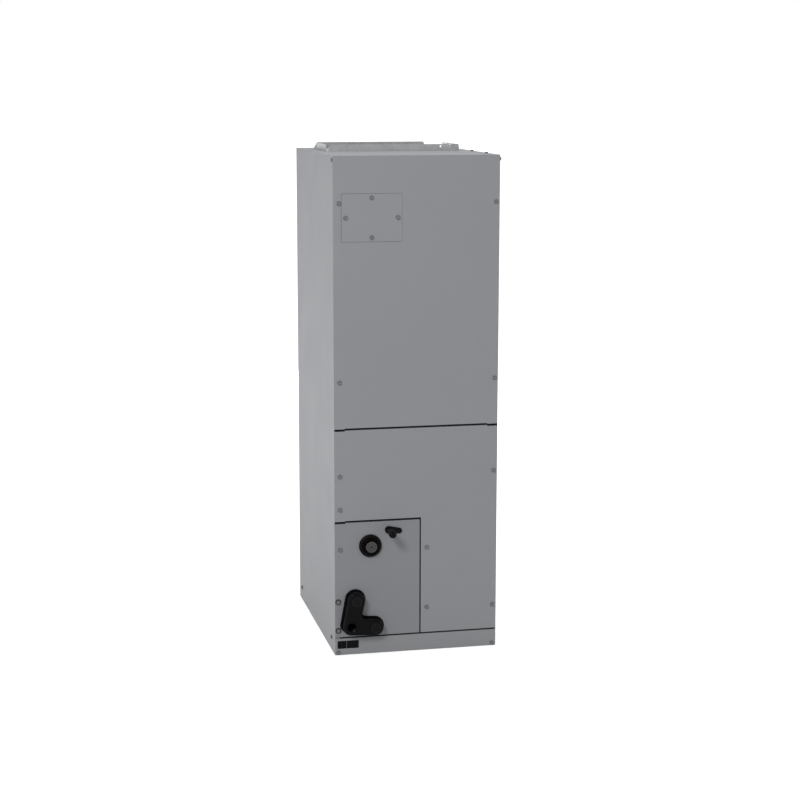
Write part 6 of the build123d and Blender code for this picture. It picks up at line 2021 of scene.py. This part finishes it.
@dataclass
class AirFilter:
    """The pleated filter in its card frame."""

    palette: Palette
    rim: float = 15.0 * MM
    card: float = 0.8 * MM
    pleats: int = 22
    pleat_steps: int = 12
    sheet: float = 0.8 * MM
    tucked: float = 1.5 * MM
    strip: float = 11.0 * MM
    strip_tuck: float = 2.0 * MM

    def frame_ring(self, low: Vector, high: Vector) -> Geometry:
        """Return the folded card frame, mitred at its corners.

        Args:
            low: The filter's lowest corner.
            high: The filter's highest corner.

        Returns:
            The frame as one part.
        """
        t, height = self.card, high.z - low.z
        section = [(0.0, 0.0), (self.rim, 0.0), (self.rim, t), (t, t), (t, height - t),
                   (self.rim, height - t), (self.rim, height), (0.0, height)]
        part = bmesh.new()
        rings = []
        for inset, z in section:
            corners = ((low.x + inset, low.y + inset), (high.x - inset, low.y + inset),
                       (high.x - inset, high.y - inset), (low.x + inset, high.y - inset))
            rings.append([part.verts.new((x, y, low.z + z)) for x, y in corners])
        bridge(part, list(zip(rings, rings[1:])) + [(rings[-1], rings[0])])
        return part

    def media(self, low: Vector, high: Vector) -> Geometry:
        """Return the pleated sheet with rounded folds.

        Args:
            low: The filter's lowest corner.
            high: The filter's highest corner.

        Returns:
            The sheet as one part.
        """
        part = bmesh.new()
        start, end = low.y + self.tucked, high.y - self.tucked
        pitch = (end - start) / self.pleats
        bottom, top = low.z + self.card + 0.3 * MM, high.z - self.card - 0.3 * MM - self.sheet
        line = []
        steps = self.pleat_steps
        for i in range(self.pleats * steps + 1):
            wave = math.cos(FULL_TURN * i / steps)
            fold = math.copysign(min(1.0, abs(wave) * 1.45) ** 0.9, wave)
            line.append((start + pitch * i / steps, (bottom + top) / 2 - fold * (top - bottom) / 2))
        rows = []
        for x in (low.x + self.tucked, high.x - self.tucked):
            under = [part.verts.new((x, y, z)) for y, z in line]
            over = [part.verts.new((x, y, z + self.sheet)) for y, z in reversed(line)]
            rows.append(under + over)
        bridge(part, [(rows[0], rows[1])])
        count = len(line)
        for row in rows:
            for i in range(count - 1):
                part.faces.new((row[i], row[i + 1], row[2 * count - 2 - i], row[2 * count - 1 - i]))
        return part

    def strips(self, maker: Maker, low: Vector, high: Vector) -> None:
        """Add the card strips that cross both faces.

        Args:
            maker: The piece that takes them.
            low: The filter's lowest corner.
            high: The filter's highest corner.
        """
        half, tuck, soft = self.strip / 2, self.strip_tuck, 0.2 * MM
        for z in (low.z + 0.05 * MM, high.z - 0.75 * MM):
            for share in (0.3333, 0.6667):
                x = low.x + (high.x - low.x) * share
                maker.block((x - half, low.y + self.rim - tuck, z),
                            (x + half, high.y - self.rim + tuck, z + 0.7 * MM), soft)
            for share in (0.25, 0.5, 0.75):
                y = low.y + (high.y - low.y) * share
                maker.block((low.x + self.rim - tuck, y - half, z + 0.02 * MM),
                            (high.x - self.rim + tuck, y + half, z + 0.68 * MM), soft)

    def build(self) -> None:
        """Build the frame, the media and the strips."""
        low, high = span("air_filter")
        maker = Maker()
        maker.add(self.frame_ring(low, high))
        self.strips(maker, low, high)
        maker.finish = 1
        maker.add(self.media(low, high))
        maker.replace("air_filter_pleated", [self.palette.card, self.palette.media], ["air_filter"], 30.0)


@dataclass(frozen=True)
class Lamp:
    """One soft square lamp."""

    name: str
    place: Point
    aim: Point
    size: float
    power: float

    def build(self) -> None:
        """Hang the lamp and point it."""
        data = bpy.data.lights.new(self.name, "AREA")
        data.size = self.size
        data.energy = self.power
        lamp = bpy.data.objects.new(self.name, data)
        lamp.location = self.place
        lamp.rotation_euler = (Vector(self.aim) - Vector(self.place)).to_track_quat("-Z", "Y").to_euler()
        bpy.context.scene.collection.objects.link(lamp)


@dataclass
class Studio:
    """Floor, light and camera."""

    palette: Palette
    place: Point = (-0.9843, -4.6206, 1.4349)
    tilt: float = 80.013
    yaw: float = -12.241
    roll: float = 0.060
    lens: float = 81.35
    sensor: float = 36.0
    floor_size: float = 40.0
    floor_drop: float = 0.2 * MM
    ambient: float = 0.125
    lamps: tuple[Lamp, ...] = (
        Lamp("front_key", (-2.3, -3.5, 3.1), (0.0, 0.0, 0.7), size=1.1, power=101.0),
        Lamp("left_fill", (-1.6, 0.1, 0.5), (0.0, 0.0, 0.45), size=0.7, power=4.6),
        Lamp("top_soft", (0.3, 0.3, 3.8), (0.0, 0.0, 1.0), size=2.2, power=7.0),
        Lamp("right_fill", (3.8, 0.2, 2.0), (0.0, 0.0, 0.7), size=2.0, power=100.0),
        Lamp("back_fill", (0.2, 4.3, 0.55), (0.0, 0.0, 0.6), size=1.0, power=110.0),
    )

    def add_floor(self) -> None:
        """Add the floor as a wide round disc."""
        part = bmesh.new()
        bmesh.ops.create_circle(part, cap_ends=True, segments=96, radius=self.floor_size)
        floor = linked("studio_floor", to_mesh(part, "studio_floor"), [self.palette.floor])
        floor.location.z = -self.floor_drop

    def add_surroundings(self) -> None:
        """Add the even surroundings: white to the camera and in reflections, dim as a light."""
        world = bpy.data.worlds.new("studio")
        bpy.context.scene.world = world
        world.use_nodes = True
        tree = world.node_tree
        sky = tree.nodes["Background"]
        sky.inputs["Color"].default_value = (1.0, 1.0, 1.0, 1.0)
        path = tree.nodes.new("ShaderNodeLightPath")
        seen = None
        for ray in ("Is Camera Ray", "Is Glossy Ray", "Is Transmission Ray"):
            either = tree.nodes.new("ShaderNodeMath")
            either.operation = "MAXIMUM"
            tree.links.new(path.outputs[ray], either.inputs[0])
            if seen is not None:
                tree.links.new(seen, either.inputs[1])
            seen = either.outputs[0]
        level = tree.nodes.new("ShaderNodeMapRange")
        level.inputs["To Min"].default_value = self.ambient
        level.inputs["To Max"].default_value = 1.0
        tree.links.new(seen, level.inputs["Value"])
        tree.links.new(level.outputs["Result"], sky.inputs["Strength"])

    def add_camera(self) -> None:
        """Place the camera at the photograph's viewpoint."""
        data = bpy.data.cameras.new("camera")
        data.lens = self.lens
        data.sensor_width = self.sensor
        data.sensor_fit = "HORIZONTAL"
        camera = bpy.data.objects.new("camera", data)
        camera.location = self.place
        turn = Matrix.Rotation(math.radians(self.yaw), 4, "Z")
        turn = turn @ Matrix.Rotation(math.radians(self.tilt), 4, "X")
        turn = turn @ Matrix.Rotation(math.radians(self.roll), 4, "Z")
        camera.rotation_euler = turn.to_euler()
        bpy.context.scene.collection.objects.link(camera)
        bpy.context.scene.camera = camera

    def build(self) -> None:
        """Set up the studio."""
        self.add_floor()
        for lamp in self.lamps:
            lamp.build()
        self.add_surroundings()
        self.add_camera()
        bpy.context.scene.view_settings.view_transform = "Standard"


def main() -> None:
    """Build every sub-assembly around the frame and report each."""
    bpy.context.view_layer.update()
    palette = Palette()
    Studio(palette).build()
    for part in (Casing(palette), FrontPanels(palette), Fittings(palette), Coil(palette),
                 Blower(palette), Controls(palette), AirFilter(palette)):
        part.build()
        LOG.info("built %s", type(part).__name__)
    Screws(palette).build_all()
    bpy.context.view_layer.update()


if __name__ == "__main__":
    main()
